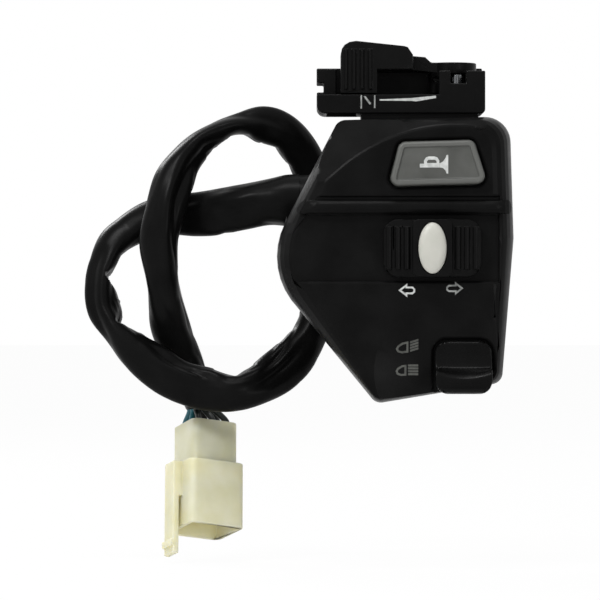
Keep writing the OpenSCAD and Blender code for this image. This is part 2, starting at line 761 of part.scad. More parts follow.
module connector_housing() {
    mouth = -conn_h - shroud_h;
    latch_x = -shroud_w / 2 - latch_gap;
    color("#d2ceae") at_connector() difference() {
        union() {
            box([-conn_w / 2, conn_w / 2], [-conn_w / 2, conn_w / 2], [-conn_h - cut, 0]);
            box([-shroud_w / 2, shroud_w / 2], [-shroud_w / 2, shroud_w / 2], [mouth, -conn_h]);
            box([latch_x - latch_t, latch_x], [-latch_w / 2, latch_w / 2], [mouth - latch_len, -conn_h]);
            box([latch_x, -shroud_w / 2], [-latch_w / 2, latch_w / 2], [-conn_h - latch_root, -conn_h]);
            box([latch_x - latch_t - latch_hook, latch_x], [-latch_w / 2, latch_w / 2],
                [mouth - latch_len + 2, mouth - latch_len + 4]);
        }
        box((shroud_w / 2 - shroud_wall) * [-1, 1], (shroud_w / 2 - shroud_wall) * [-1, 1],
            [mouth - cut, mouth + socket_depth]);
        for (x = [-1, 0, 1], y = [-1, 0, 1])
            rod_z(cavity_r, mouth, cut, terminal_pitch * x, terminal_pitch * y);
    }
}

module connector_terminals() {
    mouth = -conn_h - shroud_h;
    color(brass) at_connector() for (x = [-1, 0, 1], y = [-1, 0, 1])
        translate([terminal_pitch * x, terminal_pitch * y, 0]) {
            rod_z(cavity_r - 0.3, 1 - conn_h, -3, 0, 0);
            box(tab_w / 2 * [-1, 1], tab_t / 2 * [-1, 1], [mouth + tab_in, 2 - conn_h]);
        }
}

module horn_button() {
    color("#77797b") difference() {
        union() {
            hull() {
                plate(horn_front_y + 0.7, horn_flange_y + horn_flange_t) horn_shape(0);
                plate(horn_front_y, horn_front_y + 0.7) horn_shape(-0.5);
            }
            plate(horn_flange_y, horn_flange_y + horn_flange_t) horn_shape(horn_flange);
            for (s = [-1, 1]) rod_y(1.5, horn_flange_y, horn_contact_y, horn_x + s * horn_leg, horn_z);
        }
        plate(horn_front_y - cut, horn_front_y + horn_sink) horn_shape(-horn_rim);
        rod_y(horn_spring_r + 1, horn_spring_y, horn_flange_y + horn_flange_t + cut, horn_x, horn_z);
    }
}

module horn_spring() {
    color(steel) translate([horn_x, horn_spring_y, horn_z]) rotate([-90, 0, 0])
        spring(horn_spring_r, 0.6, horn_board_y - horn_spring_y, 6);
}

module horn_contact() {
    color(brass) difference() {
        box([horn_x - horn_leg - 2, horn_x + horn_leg + 2],
            [horn_contact_y, horn_contact_y + horn_contact_t], [horn_z - 4.8, horn_z + 4.8]);
        rod_y(horn_spring_r + 0.8, horn_contact_y - cut, horn_contact_y + cut, horn_x, horn_z);
    }
}

module board(x, y, z, holes, hole_r, screws) {
    color(board_brown) difference() {
        box(x, [y, y + board_t], z);
        for (p = holes) rod_y(hole_r + pin_gap, y - cut, y + board_t + cut, p.x, p.y);
        for (p = screws) rod_y(board_screw_r + 0.2, y - cut, y + board_t + cut, p.x, p.y);
    }
}

// Contact rivets through a board, with a head toward the viewer and a tail behind
module rivets(places, y, head_y, r) {
    color(brass) for (p = places) {
        rod_y(r, head_y, y, p.x, p.y);
        rod_y(r - 0.4, y, y + board_t, p.x, p.y);
        rod_y(r - 0.1, y + board_t, y + board_t + 0.6, p.x, p.y);
    }
}

horn_rivet_at = [for (s = [-1, 1]) [horn_x + s * horn_leg, horn_z]];
turn_rivet_at = [for (s = [-9.5, -2.5, 2.5, 9.5]) [turn_x + s, turn_z]];
beam_rivet_at = [for (x = [-1, 1], z = [-1, 1])
    [rocker_x + x * (wiper_w[0] + wiper_w[1]) / 2, pivot_z + 1.5 * nose_drop * z]];

module horn_base() {
    difference() {
        board([horn_screw_at[0].x - board_edge, horn_x + horn_leg + 1.6 * board_edge], horn_board_y,
            [horn_z - horn_h / 2, horn_z + horn_h / 2], horn_rivet_at, 1.4, horn_screw_at);
        for (p = case_screw_at)
            rod_y(case_boss_r + slide_gap, horn_board_y - cut, horn_board_y + board_t + cut, p.x, p.y);
    }
    color(board_brown) rod_y(horn_spring_r - 1.1, horn_board_y - 3.5, horn_board_y, horn_x, horn_z);
}

module horn_rivets() {
    rivets(horn_rivet_at, horn_board_y, horn_head_y, 1.8);
}

module turn_slider() {
    color(black) difference() {
        union() {
            plate(wing_y, slider_y) translate([turn_x, turn_z]) round_rect(turn_w, turn_h, turn_r);
            plate(turn_hub_y, slider_y) translate([turn_x, turn_z])
                round_rect(oval_w + 3, turn_h, 1.5);
            for (s = [-1, 1], i = [0 : wing_ribs - 1])
                rod_z(wing_rib_d / 2, turn_z - turn_h / 2 + turn_r / 2, turn_z + turn_h / 2 - turn_r / 2,
                    turn_x + s * (turn_w / 2 - 1.4 - 2.4 * i), wing_y + 0.1);
            box([turn_x - stem_w / 2, turn_x + stem_w / 2], [slider_y - cut, stem_end_y],
                [turn_z - stem_h / 2, turn_z + stem_h / 2]);
        }
        plate(turn_hub_y - cut, oval_floor_y) oval_shape(rest_gap);
        rod_y(cancel_spring_r + 0.6, oval_floor_y - cut, cancel_seat_y, turn_x, turn_z);
        rod_y(cancel_stem_r + pin_gap, cancel_seat_y - cut, stem_end_y + cut, turn_x, turn_z);
    }
}

module turn_carrier() {
    color("#d8d4c4") difference() {
        box([turn_x - carrier_w / 2, turn_x + carrier_w / 2], carrier_y,
            [turn_z - carrier_h / 2, turn_z + carrier_h / 2]);
        box([turn_x - stem_w / 2 - pin_gap, turn_x + stem_w / 2 + pin_gap],
            [carrier_y[0] - cut, carrier_y[1] + cut],
            [turn_z - stem_h / 2 - pin_gap, turn_z + stem_h / 2 + pin_gap]);
        rod_z(detent_r + pin_gap, turn_z, turn_z + carrier_h / 2 + cut, detent_x,
            (carrier_y[0] + carrier_y[1]) / 2);
    }
}

module turn_contact() {
    color(brass) {
        difference() {
            box([turn_x - turn_contact_w / 2, turn_x + turn_contact_w / 2],
                [carrier_y[1], carrier_y[1] + contact_t],
                [turn_z - turn_contact_h / 2, turn_z + turn_contact_h / 2]);
            rod_y(cancel_clip_r + 0.6, carrier_y[1] - cut, carrier_y[1] + cut, turn_x, turn_z);
        }
        for (s = [-1, 1])
            rod_y(1, carrier_y[1] + contact_t, turn_head_y - rest_gap, turn_x + turn_finger_x * s, turn_z);
    }
}

module turn_base() {
    board([turn_screw_at[0].x - board_edge, turn_rivet_at[3].x + board_edge], turn_board_y,
        [turn_screw_at[0].y - board_edge, turn_screw_at[1].y + board_edge], turn_rivet_at, 1.1,
        turn_screw_at);
}

module turn_rivets() {
    rivets(turn_rivet_at, turn_board_y, turn_head_y, 1.5);
}

detent_z = turn_z + carrier_h / 2 + detent_out - detent_r;

module turn_detent_ball() {
    color(steel) translate([detent_x, (carrier_y[0] + carrier_y[1]) / 2, detent_z]) sphere(detent_r);
}

module turn_detent_spring() {
    color(steel) translate([detent_x, (carrier_y[0] + carrier_y[1]) / 2, turn_z])
        spring(0.7, 0.35, detent_z - detent_r - turn_z, 4);
}

module cancel_button() {
    color("#e6e4dc") {
        hull() {
            plate(oval_front_y + 1, oval_back_y) oval_shape(0);
            plate(oval_front_y, oval_front_y + 0.2) oval_shape(-1);
        }
        rod_y(cancel_stem_r, oval_back_y, cancel_clip_y + cancel_clip_t + 0.3, turn_x, turn_z);
    }
}

module cancel_spring() {
    color(steel) translate([turn_x, oval_back_y, turn_z]) rotate([-90, 0, 0])
        spring(cancel_spring_r, 0.5, cancel_seat_y - oval_back_y, 4);
}

module cancel_clip() {
    color(steel) difference() {
        rod_y(cancel_clip_r, cancel_clip_y, cancel_clip_y + cancel_clip_t, turn_x, turn_z);
        rod_y(cancel_stem_r + 0.02, cancel_clip_y - cut, cancel_clip_y + cut, turn_x, turn_z);
    }
}

// Side view of the rocker's cap about its pivot: flat upper pad, step, and the lip that stands out
module rocker_profile()
    polygon([[3.2 - pad_out, rocker_top], [0.6 - pad_out, rocker_top], [-pad_out, rocker_top - 0.7],
        [0.2 - pad_out, 2.6], [-pad_out, 0.2], [-pad_out - 0.6, -1.2], [1.4 - lip_out, -2.2],
        [0.3 - lip_out, -3.4], [-lip_out, -5], [0.3 - lip_out, -6.6], [1.5 - lip_out, rocker_low + 0.4],
        [2.9 - lip_out, rocker_low], [1.2 - pad_out, rocker_low]]);

module beam_rocker() {
    cap_h = rocker_top - rocker_low;
    color(black) difference() {
        union() {
            intersection() {
                at_pivot(0) translate([-rocker_w / 2, 0, 0]) rotate([90, 0, 90])
                    linear_extrude(rocker_w) rocker_profile();
                plate(face_y - 10, pivot_y) translate([rocker_x, pivot_z + (rocker_top + rocker_low) / 2])
                    round_rect(rocker_w, cap_h, rocker_r);
            }
            at_pivot(neck_turn) box(neck_w / 2 * [-1, 1], [-5.6, 0], neck_h / 2 * [-1, 1]);
            rod_x(neck_h / 2, rocker_x - neck_w / 2, rocker_x + neck_w / 2, pivot_y, pivot_z);
            at_pivot(neck_turn) rod_y(tail_r, 0, tail_len - 2, 0, 0);
        }
        rod_x(pivot_d / 2 + pin_gap, rocker_x - neck_w, rocker_x + neck_w, pivot_y, pivot_z);
        at_pivot(neck_turn) rod_y(plunger_r + pin_gap, plunger_spring_in, tail_len, 0, 0);
    }
}

module beam_pin() {
    color(steel) rod_x(pivot_d / 2, rocker_x - neck_w / 2 - ear_gap - ear_t + 0.2,
        rocker_x + neck_w / 2 + ear_gap + ear_t - 0.2, pivot_y, pivot_z);
}

module beam_plunger() {
    color(brass) at_pivot(neck_turn) {
        rod_y(plunger_r, plunger_in, tail_len - 2, 0, 0);
        rod_y(plunger_r - 0.35, tail_len - 2, tail_len, 0, 0);
        translate([0, tail_len, 0]) sphere(plunger_r);
    }
}

module beam_plunger_spring() {
    color(steel) at_pivot(neck_turn) translate([0, plunger_spring_in, 0]) rotate([-90, 0, 0])
        spring(0.9, 0.35, plunger_in - plunger_spring_in, 4);
}

// Block on the board with a groove for the plunger's nose at each end of the swing
module beam_detent() {
    color("#d8d4c4") difference() {
        box([rocker_x - detent_w / 2, rocker_x + detent_w / 2], [detent_y, beam_board_y],
            [pivot_z - 2 * nose_drop, pivot_z + 2 * nose_drop]);
        for (z = nose_drop * [-1, 1])
            rod_x(plunger_r + 0.15, rocker_x - detent_w, rocker_x + detent_w, detent_y - plunger_r + 0.1,
                pivot_z + z);
    }
}

// Brass saddle over the rocker's tail, with two fingers that wipe over the rivets
module beam_contact() {
    color(brass) at_pivot(neck_turn) {
        box(wiper_w[1] * [-1, 1], [wiper_y[0], wiper_y[1]], [tail_r + 0.05, tail_r + 0.05 + contact_t]);
        for (s = [-1, 1])
            let (x = s < 0 ? [-wiper_w[1], -wiper_w[0]] : wiper_w) {
                box(x, [wiper_y[0], wiper_y[1]], [-wiper_h, tail_r + 0.05 + contact_t]);
                box(x, [wiper_y[0], wiper_y[2]], wiper_h * [-1, 1]);
            }
    }
}

module beam_base() {
    board([beam_screw_at[0].x - board_edge, rocker_x + 2 * board_edge], beam_board_y,
        [pivot_z - board_edge, beam_screw_at[1].y + board_edge], beam_rivet_at, 0.8, beam_screw_at);
}

module beam_rivets() {
    rivets(beam_rivet_at, beam_board_y, beam_head_y, 1.2);
}

module board_screws() {
    color(steel) {
        screw_row(horn_screw_at, horn_board_y);
        screw_row(turn_screw_at, turn_board_y);
        screw_row(beam_screw_at, beam_board_y);
    }
}

module screw_row(places, y)
    for (p = places) {
        rod_y(board_screw_r, y - 4, y + board_t, p.x, p.y);
        rod_y(board_head_r, y + board_t, y + board_t + board_head_h, p.x, p.y);
    }

module choke_bracket() {
    color(black) difference() {
        union() {
            box([rail_left, rail_right], [-rail_front, rail_back], [rail_z, rail_top]);
            box([rail_left, rail_left + post_w], post_y, [rail_top - cut, post_top]);
            box([rail_left, rail_right], [rail_back - wall_t, rail_back], [rail_top - cut, wall_top]);
            box([rail_right - cheek_t, rail_right], [-rail_front, rail_back],
                [rail_top - cut, rail_top + cheek_h]);
            box([guard_x, rail_right], [-rail_front, guard_t - rail_front], [rail_top - cut, guard_top]);
            rod_z(choke_screw_r + 1.6, rail_top - cut, thrust_z, choke_x, 0);
        }
        rod_z(choke_screw_r - 0.35 + pin_gap, rail_z + 1, thrust_z + cut, choke_x, 0);
        rod_x(cable_d / 2, rail_left - cut, rail_left + cable_seat, cable_y, cable_z);
        rod_x(0.9, rail_left, rail_left + post_w + cut, cable_y, cable_z);
        box([rail_left - cut, rail_left + notch_in], [post_y[0] - cut, rail_back + cut],
            [cable_z - notch_h / 2, cable_z + notch_h / 2]);
        box([barrel_x - pocket_half, barrel_x + pocket_half],
            [-rail_front - cut, guard_t - rail_front + cut], [barrel_z[0], guard_top + cut]);
        for (p = bracket_screw_at)
            rod_z(bracket_screw_r + pin_gap, rail_z - cut, rail_top - 1, p.x, p.y);
    }
}

// Front view of the lever's knob and of its arm
module knob_shape()
    polygon([[knob_left, knob_z], [knob_left + 10, knob_z], [knob_left + 10, arm_z], [knob_right, arm_z],
        [knob_right, knob_top - 3.8], [knob_right - 1.4, knob_top - 1.7], [knob_right - 2.4, knob_top - 1.4],
        [knob_left + 4.2, knob_top], [knob_left + 2.4, knob_top - 0.3], [knob_left + 1, knob_top - 1.1],
        [knob_left + 0.3, knob_top - 2.2], [knob_left, knob_top - 3.6]]);
module arm_shape()
    polygon([[knob_left + 4, arm_z], [choke_x, arm_z], [choke_x, hub_top], [choke_x - hub_r + 0.6, hub_top],
        [knob_right + 3.6, hub_top + 1.5], [knob_right, hub_top + 1.8], [knob_left + 4, hub_top + 1.8]]);

module choke_lever() {
    color(black) difference() {
        union() {
            rod_z(hub_r, hub_z, hub_top, choke_x, 0);
            plate(arm_y[0], arm_y[1]) arm_shape();
            plate(knob_y[0], knob_y[1]) knob_shape();
            for (i = [0 : 3])
                rod_z(0.6, knob_z + 1, knob_top - 2.4, knob_left + 1.4 + 2.2 * i, knob_y[0] + 0.1);
        }
        rod_z(choke_screw_r + pin_gap, hub_z - cut, hub_top, choke_x, 0);
        rod_z(choke_head_r + 0.3, choke_seat_z, hub_top + cut, choke_x, 0);
        box([barrel_x - pocket_half, barrel_x + pocket_half],
            [-hub_r - cut, barrel_y + barrel_r + 0.1], barrel_z);
        rod_x(0.8, choke_x - hub_r - cut, barrel_x, barrel_y, (barrel_z[0] + barrel_z[1]) / 2);
    }
}

module choke_pivot_screw() {
    head_z = choke_seat_z + 0.5;
    color(steel) difference() {
        union() {
            rod_z(choke_screw_r - 0.35, rail_z + 1.4, thrust_z, choke_x, 0);
            rod_z(choke_screw_r, thrust_z, head_z, choke_x, 0);
            rod_z(choke_head_r, head_z, head_z + choke_head_h, choke_x, 0);
        }
        translate([choke_x, 0, head_z + 0.8]) cylinder(r = 1.8, h = 3, $fn = 6);
    }
}

module choke_washer() {
    color(steel) difference() {
        rod_z(choke_head_r - 0.1, choke_seat_z + 0.1, choke_seat_z + 0.5, choke_x, 0);
        rod_z(choke_screw_r + 0.05, choke_seat_z, choke_seat_z + cut, choke_x, 0);
    }
}

module choke_barrel() {
    color("#c8cacc") rod_z(barrel_r, barrel_z[0] + 0.1, barrel_z[1] - 0.1, barrel_x, barrel_y);
}

module choke_bracket_screws() {
    color(steel) for (p = bracket_screw_at) {
        rod_z(bracket_screw_r, bracket_seat_z - 0.5, rail_top - 1.5, p.x, p.y);
        rod_z(bracket_head_r, bracket_seat_z - bracket_head_h, bracket_seat_z, p.x, p.y);
    }
}

module inner_wires() {
    color("#3a3c46") for (p = inner_routes) tube(curve(p, 4), wire_d / 2, wire_sides);
}

front_case();
rear_case();
case_screws();
case_inserts();
harness_grommet();
harness_sleeve();
tail_wires_blue();
tail_wires_dark();
connector_housing();
connector_terminals();
horn_button();
horn_spring();
horn_contact();
horn_base();
horn_rivets();
turn_slider();
turn_carrier();
turn_contact();
turn_base();
turn_rivets();
turn_detent_ball();
turn_detent_spring();
cancel_button();
cancel_spring();
cancel_clip();
beam_rocker();
beam_pin();
beam_plunger();
beam_plunger_spring();
beam_detent();
beam_contact();
beam_base();
beam_rivets();
board_screws();
choke_bracket();
choke_lever();
choke_pivot_screw();
choke_washer();
choke_barrel();
choke_bracket_screws();
inner_wires();
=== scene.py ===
# Handlebar switch cluster: the looks of its pieces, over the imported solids. Metres, in the solids' frame.
import json
import math

import bmesh
import bpy
from mathutils import Matrix, Vector, geometry, noise
from mathutils.bvhtree import BVHTree


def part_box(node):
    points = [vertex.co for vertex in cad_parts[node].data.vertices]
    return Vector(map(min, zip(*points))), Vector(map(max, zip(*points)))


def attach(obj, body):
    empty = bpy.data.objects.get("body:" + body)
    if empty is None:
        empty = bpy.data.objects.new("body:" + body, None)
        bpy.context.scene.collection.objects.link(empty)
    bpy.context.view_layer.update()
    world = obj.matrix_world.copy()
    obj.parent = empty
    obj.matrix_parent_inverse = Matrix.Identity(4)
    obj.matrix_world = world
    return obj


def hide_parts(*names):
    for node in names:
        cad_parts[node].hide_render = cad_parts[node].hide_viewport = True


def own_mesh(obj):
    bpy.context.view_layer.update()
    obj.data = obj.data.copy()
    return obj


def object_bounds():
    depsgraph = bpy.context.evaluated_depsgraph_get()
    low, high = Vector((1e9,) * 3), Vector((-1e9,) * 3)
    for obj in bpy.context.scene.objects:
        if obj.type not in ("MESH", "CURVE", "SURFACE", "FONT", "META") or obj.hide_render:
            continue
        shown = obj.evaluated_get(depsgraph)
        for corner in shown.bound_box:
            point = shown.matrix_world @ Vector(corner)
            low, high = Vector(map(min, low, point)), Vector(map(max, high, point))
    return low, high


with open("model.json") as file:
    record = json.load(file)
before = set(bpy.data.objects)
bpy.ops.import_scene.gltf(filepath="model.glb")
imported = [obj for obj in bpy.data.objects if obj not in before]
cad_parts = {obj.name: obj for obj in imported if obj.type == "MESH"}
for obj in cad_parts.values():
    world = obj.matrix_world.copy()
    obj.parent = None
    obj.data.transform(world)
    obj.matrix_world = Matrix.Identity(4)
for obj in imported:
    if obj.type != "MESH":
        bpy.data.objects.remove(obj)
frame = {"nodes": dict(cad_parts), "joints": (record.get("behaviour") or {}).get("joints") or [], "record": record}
solid_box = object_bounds()
nodes = frame["nodes"]
scene = bpy.context.scene
scene.view_settings.view_transform = "Standard"
MM = 0.001

# The camera looks square at the face. A pixel of the 600 pixel frame is 0.27 mm there,
# and the bar's axis lies at pixel 400, 245.
PIXEL = 0.27 * MM
AXIS_PX = (400, 245)
FRAME_PX = 600
FACE_Y = -26 * MM
VIEW_DISTANCE = 1.2


def at_pixel(px, py):
    """The point on the face's plane that a pixel of the view shows."""
    return Vector(((px - AXIS_PX[0]) * PIXEL, FACE_Y, (AXIS_PX[1] - py) * PIXEL))


camera = bpy.data.objects.new("camera", bpy.data.cameras.new("camera"))
camera.data.sensor_width = 36
camera.data.lens = 36 * VIEW_DISTANCE / (FRAME_PX * PIXEL)
camera.location = at_pixel(FRAME_PX / 2, FRAME_PX / 2) + Vector((0, -VIEW_DISTANCE, 0))
camera.rotation_euler = (math.pi / 2, 0, 0)
scene.collection.objects.link(camera)
scene.camera = camera


# Materials
def srgb(text):
    """An sRGB hex colour as linear red, green, blue and alpha."""
    parts = [int(text[i : i + 2], 16) / 255 for i in (1, 3, 5)]
    return tuple(c / 12.92 if c <= 0.04045 else ((c + 0.055) / 1.055) ** 2.4 for c in parts) + (1.0,)


def add(tree, kind, values=None, links=None, ramp=(), **settings):
    """One node with its settings, its values, what feeds it and the stops of its colour ramp."""
    made = tree.nodes.new(kind)
    for name, value in settings.items():
        setattr(made, name, value)
    for name, value in (values or {}).items():
        made.inputs[name].default_value = value
    for name, socket in (links or {}).items():
        tree.links.new(socket, made.inputs[name])
    for stop, (position, colour) in enumerate(ramp):
        made.color_ramp.elements[stop].position = position
        made.color_ramp.elements[stop].color = srgb(colour)
    return made


def surface(name, **values):
    """A new material: its tree, its shader and the place on the piece."""
    made = bpy.data.materials.new(name)
    made.use_nodes = True
    tree = made.node_tree
    shader = tree.nodes["Principled BSDF"]
    for key, value in values.items():
        shader.inputs[key].default_value = value
    return made, tree, shader, add(tree, "ShaderNodeTexCoord").outputs["Object"]


def moulded(name, low, high, rough, gloss, grain_mm, height_mm, flow_mm=9.0):
    """Moulded plastic or rubber: flow marks in the colour, handling marks in the roughness, and the
    mould's texture in the relief."""
    made, tree, shader, place = surface(name, **{"IOR": 1.53, "Specular IOR Level": gloss})
    flow = add(tree, "ShaderNodeTexNoise", {"Scale": 1 / (flow_mm * MM), "Detail": 3}, {"Vector": place})
    tone = add(tree, "ShaderNodeValToRGB", links={"Fac": flow.outputs["Fac"]}, ramp=((0.35, low), (0.65, high)))
    marks = add(tree, "ShaderNodeTexNoise", {"Scale": 1 / (2.6 * MM), "Detail": 4}, {"Vector": place})
    wear = add(tree, "ShaderNodeMapRange", {"To Min": rough - 0.07, "To Max": rough + 0.09},
               {"Value": marks.outputs["Fac"]})
    grain = add(tree, "ShaderNodeTexNoise", {"Scale": 1 / (grain_mm * MM), "Detail": 2}, {"Vector": place})
    bump = add(tree, "ShaderNodeBump", {"Distance": height_mm * MM}, {"Height": grain.outputs["Fac"]})
    tree.links.new(tone.outputs["Color"], shader.inputs["Base Color"])
    tree.links.new(wear.outputs["Result"], shader.inputs["Roughness"])
    tree.links.new(bump.outputs["Normal"], shader.inputs["Normal"])
    return made


# Moulded ABS from a spark-eroded mould: black, satin, with a fine leathery grain. The real grain is
# about 0.15 mm, too fine to show, so it is drawn at 0.5 mm.
abs_grained = moulded("abs_black_grained", "#0b0b0b", "#111111", 0.32, 0.045, 0.5, 0.018)
# Moulded ABS from a smooth mould, for what a thumb moves: black, satin, slightly worn
abs_satin = moulded("abs_black_satin", "#080808", "#0c0c0c", 0.33, 0.06, 0.8, 0.01)
# Moulded ABS from a polished mould, on the rocker: black and glossy, with the fine wear of a thumb
abs_gloss = moulded("abs_black_gloss", "#040404", "#070707", 0.26, 0.07, 1.2, 0.006)
# White acetal: dense, smooth, a little waxy, greyed by handling
acetal_white = moulded("acetal_white", "#bbbbb2", "#c6c5bd", 0.36, 0.4, 1.2, 0.008)
# Natural acetal of the inner slides
acetal_natural = moulded("acetal_natural", "#cfcabb", "#dbd6c8", 0.42, 0.4, 1.0, 0.006)
# Black rubber: matt
rubber_black = moulded("rubber_black", "#0e0e0f", "#131314", 0.6, 0.08, 0.7, 0.02)
# Pad-printed ink: flat, a little thin, so the tone is patchy at about 1 mm
ink_white = moulded("ink_white", "#b4b6b4", "#d0d2d0", 0.55, 0.2, 0.5, 0.006, 1.2)
ink_worn = moulded("ink_worn", "#7c7e7c", "#a2a4a2", 0.55, 0.2, 0.5, 0.006, 1.2)
ink_grey = moulded("ink_grey", "#454643", "#565753", 0.55, 0.2, 0.5, 0.006, 1.2)
# Phenolic paper board: brown, with the fibres' mottle
phenolic = moulded("phenolic_board", "#5c3d22", "#70502f", 0.48, 0.4, 0.5, 0.02, 2.0)
# PVC wire covering: smooth and satin
wire_blue = moulded("pvc_wire_blue", "#1c6074", "#28727f", 0.38, 0.4, 1.0, 0.008)
wire_dark = moulded("pvc_wire_dark", "#1c211f", "#262b29", 0.40, 0.4, 1.0, 0.008)


def grey_abs_with_painted_rim_highlight():
    """Moulded grey ABS: satin, with a rim that thumbs have polished smoother than the sunken panel, and a highlight
    painted on the rim, whose colour is paler than the panel's.
    """
    made, tree, shader, place = surface("abs_grey_painted_rim_highlight", **{"IOR": 1.53, "Specular IOR Level": 0.3})
    flow = add(tree, "ShaderNodeTexNoise", {"Scale": 1 / (8.0 * MM), "Detail": 3}, {"Vector": place})
    axes = add(tree, "ShaderNodeSeparateXYZ", links={"Vector": place})
    # The front rim's mask: it makes the rim's colour paler as a painted highlight, and lowers its roughness where
    # thumbs polish it
    rim = add(tree, "ShaderNodeMapRange", {"From Min": -28.9 * MM, "From Max": -29.4 * MM}, {"Value": axes.outputs["Y"]})
    tone = add(tree, "ShaderNodeMath", {1: 0.7}, {0: rim.outputs["Result"], 2: flow.outputs["Fac"]},
               operation="MULTIPLY_ADD")
    # Panel tone to rim tone: the paler rim colour is a painted highlight
    paint = add(tree, "ShaderNodeValToRGB", links={"Fac": tone.outputs[0]}, ramp=((0.3, "#3a3b38"), (1.0, "#5a5b58")))
    wear = add(tree, "ShaderNodeMapRange", {"To Min": 0.50, "To Max": 0.36}, {"Value": rim.outputs["Result"]})
    grain = add(tree, "ShaderNodeTexNoise", {"Scale": 1 / (0.6 * MM), "Detail": 2}, {"Vector": place})
    bump = add(tree, "ShaderNodeBump", {"Distance": 0.012 * MM}, {"Height": grain.outputs["Fac"]})
    tree.links.new(paint.outputs["Color"], shader.inputs["Base Color"])
    tree.links.new(wear.outputs["Result"], shader.inputs["Roughness"])
    tree.links.new(bump.outputs["Normal"], shader.inputs["Normal"])
    return made


abs_grey_painted_rim_highlight = grey_abs_with_painted_rim_highlight()


def nylon():
    """Ivory nylon: waxy and slightly see-through, so light spreads inside it."""
    made, tree, shader, place = surface(
        "nylon_ivory", **{"IOR": 1.53, "Specular IOR Level": 0.4, "Subsurface Weight": 0.6, "Subsurface Scale": 1.0,
                          "Subsurface Radius": (7.0 * MM, 6.0 * MM, 4.0 * MM)})
    flow = add(tree, "ShaderNodeTexNoise", {"Scale": 1 / (7.0 * MM), "Detail": 3}, {"Vector": place})
    tone = add(tree, "ShaderNodeValToRGB", links={"Fac": flow.outputs["Fac"]},
               ramp=((0.3, "#d5d0ab"), (0.7, "#dfdbbf")))
    marks = add(tree, "ShaderNodeTexNoise", {"Scale": 1 / (2.0 * MM), "Detail": 4}, {"Vector": place})
    wear = add(tree, "ShaderNodeMapRange", {"To Min": 0.32, "To Max": 0.5}, {"Value": marks.outputs["Fac"]})
    swirl = add(tree, "ShaderNodeTexNoise", {"Scale": 1 / (1.6 * MM), "Detail": 3}, {"Vector": place})
    bump = add(tree, "ShaderNodeBump", {"Distance": 0.03 * MM}, {"Height": swirl.outputs["Fac"]})
    tree.links.new(tone.outputs["Color"], shader.inputs["Base Color"])
    tree.links.new(wear.outputs["Result"], shader.inputs["Roughness"])
    tree.links.new(bump.outputs["Normal"], shader.inputs["Normal"])
    return made


nylon_ivory = nylon()


def sleeving():
    """Soft PVC sleeving: black and satin, duller where it is dusty, with a fine grain along its walls."""
    made, tree, shader, place = surface("pvc_sleeving", **{"IOR": 1.53, "Specular IOR Level": 0.045})
    dust = add(tree, "ShaderNodeTexNoise", {"Scale": 1 / (14.0 * MM), "Detail": 3}, {"Vector": place})
    tone = add(tree, "ShaderNodeValToRGB", links={"Fac": dust.outputs["Fac"]},
               ramp=((0.35, "#090909"), (0.7, "#111111")))
    wear = add(tree, "ShaderNodeMapRange", {"To Min": 0.24, "To Max": 0.4}, {"Value": dust.outputs["Fac"]})
    grain = add(tree, "ShaderNodeTexNoise", {"Scale": 1 / (0.8 * MM), "Detail": 2}, {"Vector": place})
    bump = add(tree, "ShaderNodeBump", {"Distance": 0.012 * MM}, {"Height": grain.outputs["Fac"]})
    tree.links.new(tone.outputs["Color"], shader.inputs["Base Color"])
    tree.links.new(wear.outputs["Result"], shader.inputs["Roughness"])
    tree.links.new(bump.outputs["Normal"], shader.inputs["Normal"])
    return made


pvc_sleeving = sleeving()


def metal(name, low, high, rough, scratch_mm):
    """Bare or plated metal: tone drifts, and fine scratches break the gloss."""
    made, tree, shader, place = surface(name, Metallic=1.0)
    drift = add(tree, "ShaderNodeTexNoise", {"Scale": 1 / (2.5 * MM), "Detail": 3}, {"Vector": place})
    tone = add(tree, "ShaderNodeValToRGB", links={"Fac": drift.outputs["Fac"]}, ramp=((0.35, low), (0.65, high)))
    marks = add(tree, "ShaderNodeTexNoise", {"Scale": 1 / (scratch_mm * MM), "Detail": 5}, {"Vector": place})
    wear = add(tree, "ShaderNodeMapRange", {"To Min": rough - 0.08, "To Max": rough + 0.12},
               {"Value": marks.outputs["Fac"]})
    bump = add(tree, "ShaderNodeBump", {"Distance": 0.005 * MM}, {"Height": marks.outputs["Fac"]})
    tree.links.new(tone.outputs["Color"], shader.inputs["Base Color"])
    tree.links.new(wear.outputs["Result"], shader.inputs["Roughness"])
    tree.links.new(bump.outputs["Normal"], shader.inputs["Normal"])
    return made


# Zinc-plated steel, bare zinc casting and drawn brass
zinc_plate = metal("steel_zinc_plated", "#9a9c9e", "#b2b4b6", 0.34, 0.4)
zinc_bright = metal("zinc_die_cast", "#6c6e70", "#828486", 0.24, 1.6)
contact_brass = metal("contact_brass", "#a87f3a", "#c39a4c", 0.36, 0.4)

finish_of_slot = {
    "case_black": abs_grained, "control_black": abs_satin, "horn_grey": abs_grey_painted_rim_highlight, "oval_white": acetal_white,
    "connector_ivory": nylon_ivory, "carrier_natural": acetal_natural, "board_brown": phenolic,
    "contact_brass": contact_brass, "steel": zinc_plate, "barrel_zinc": zinc_bright,
    "grommet_rubber": rubber_black, "sleeve_pvc": pvc_sleeving, "wire_blue": wire_blue, "wire_dark": wire_dark,
}
slot_of_node = {s["node"]: s["material_slot"] for s in frame["record"]["subparts"]}
body_of_node = {n: b for b, names in frame["record"]["behaviour"]["bodies"].items() for n in names}
for name, solid in nodes.items():
    solid.data.materials.clear()
    solid.data.materials.append(finish_of_slot[slot_of_node[name]])


# Pieces
def make_piece(name, bm, finish, body, stands_for=(), sharp=35):
    """Turns a finished bmesh into a piece that rides a body, smooth up to the angle sharp."""
    mesh = bpy.data.meshes.new(name)
    bm.to_mesh(mesh)
    bm.free()
    mesh.shade_smooth()
    mesh.set_sharp_from_angle(angle=math.radians(sharp))
    mesh.materials.append(finish)
    made = bpy.data.objects.new(name, mesh)
    scene.collection.objects.link(made)
    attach(made, body)
    if stands_for:
        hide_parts(*stands_for)
    return made


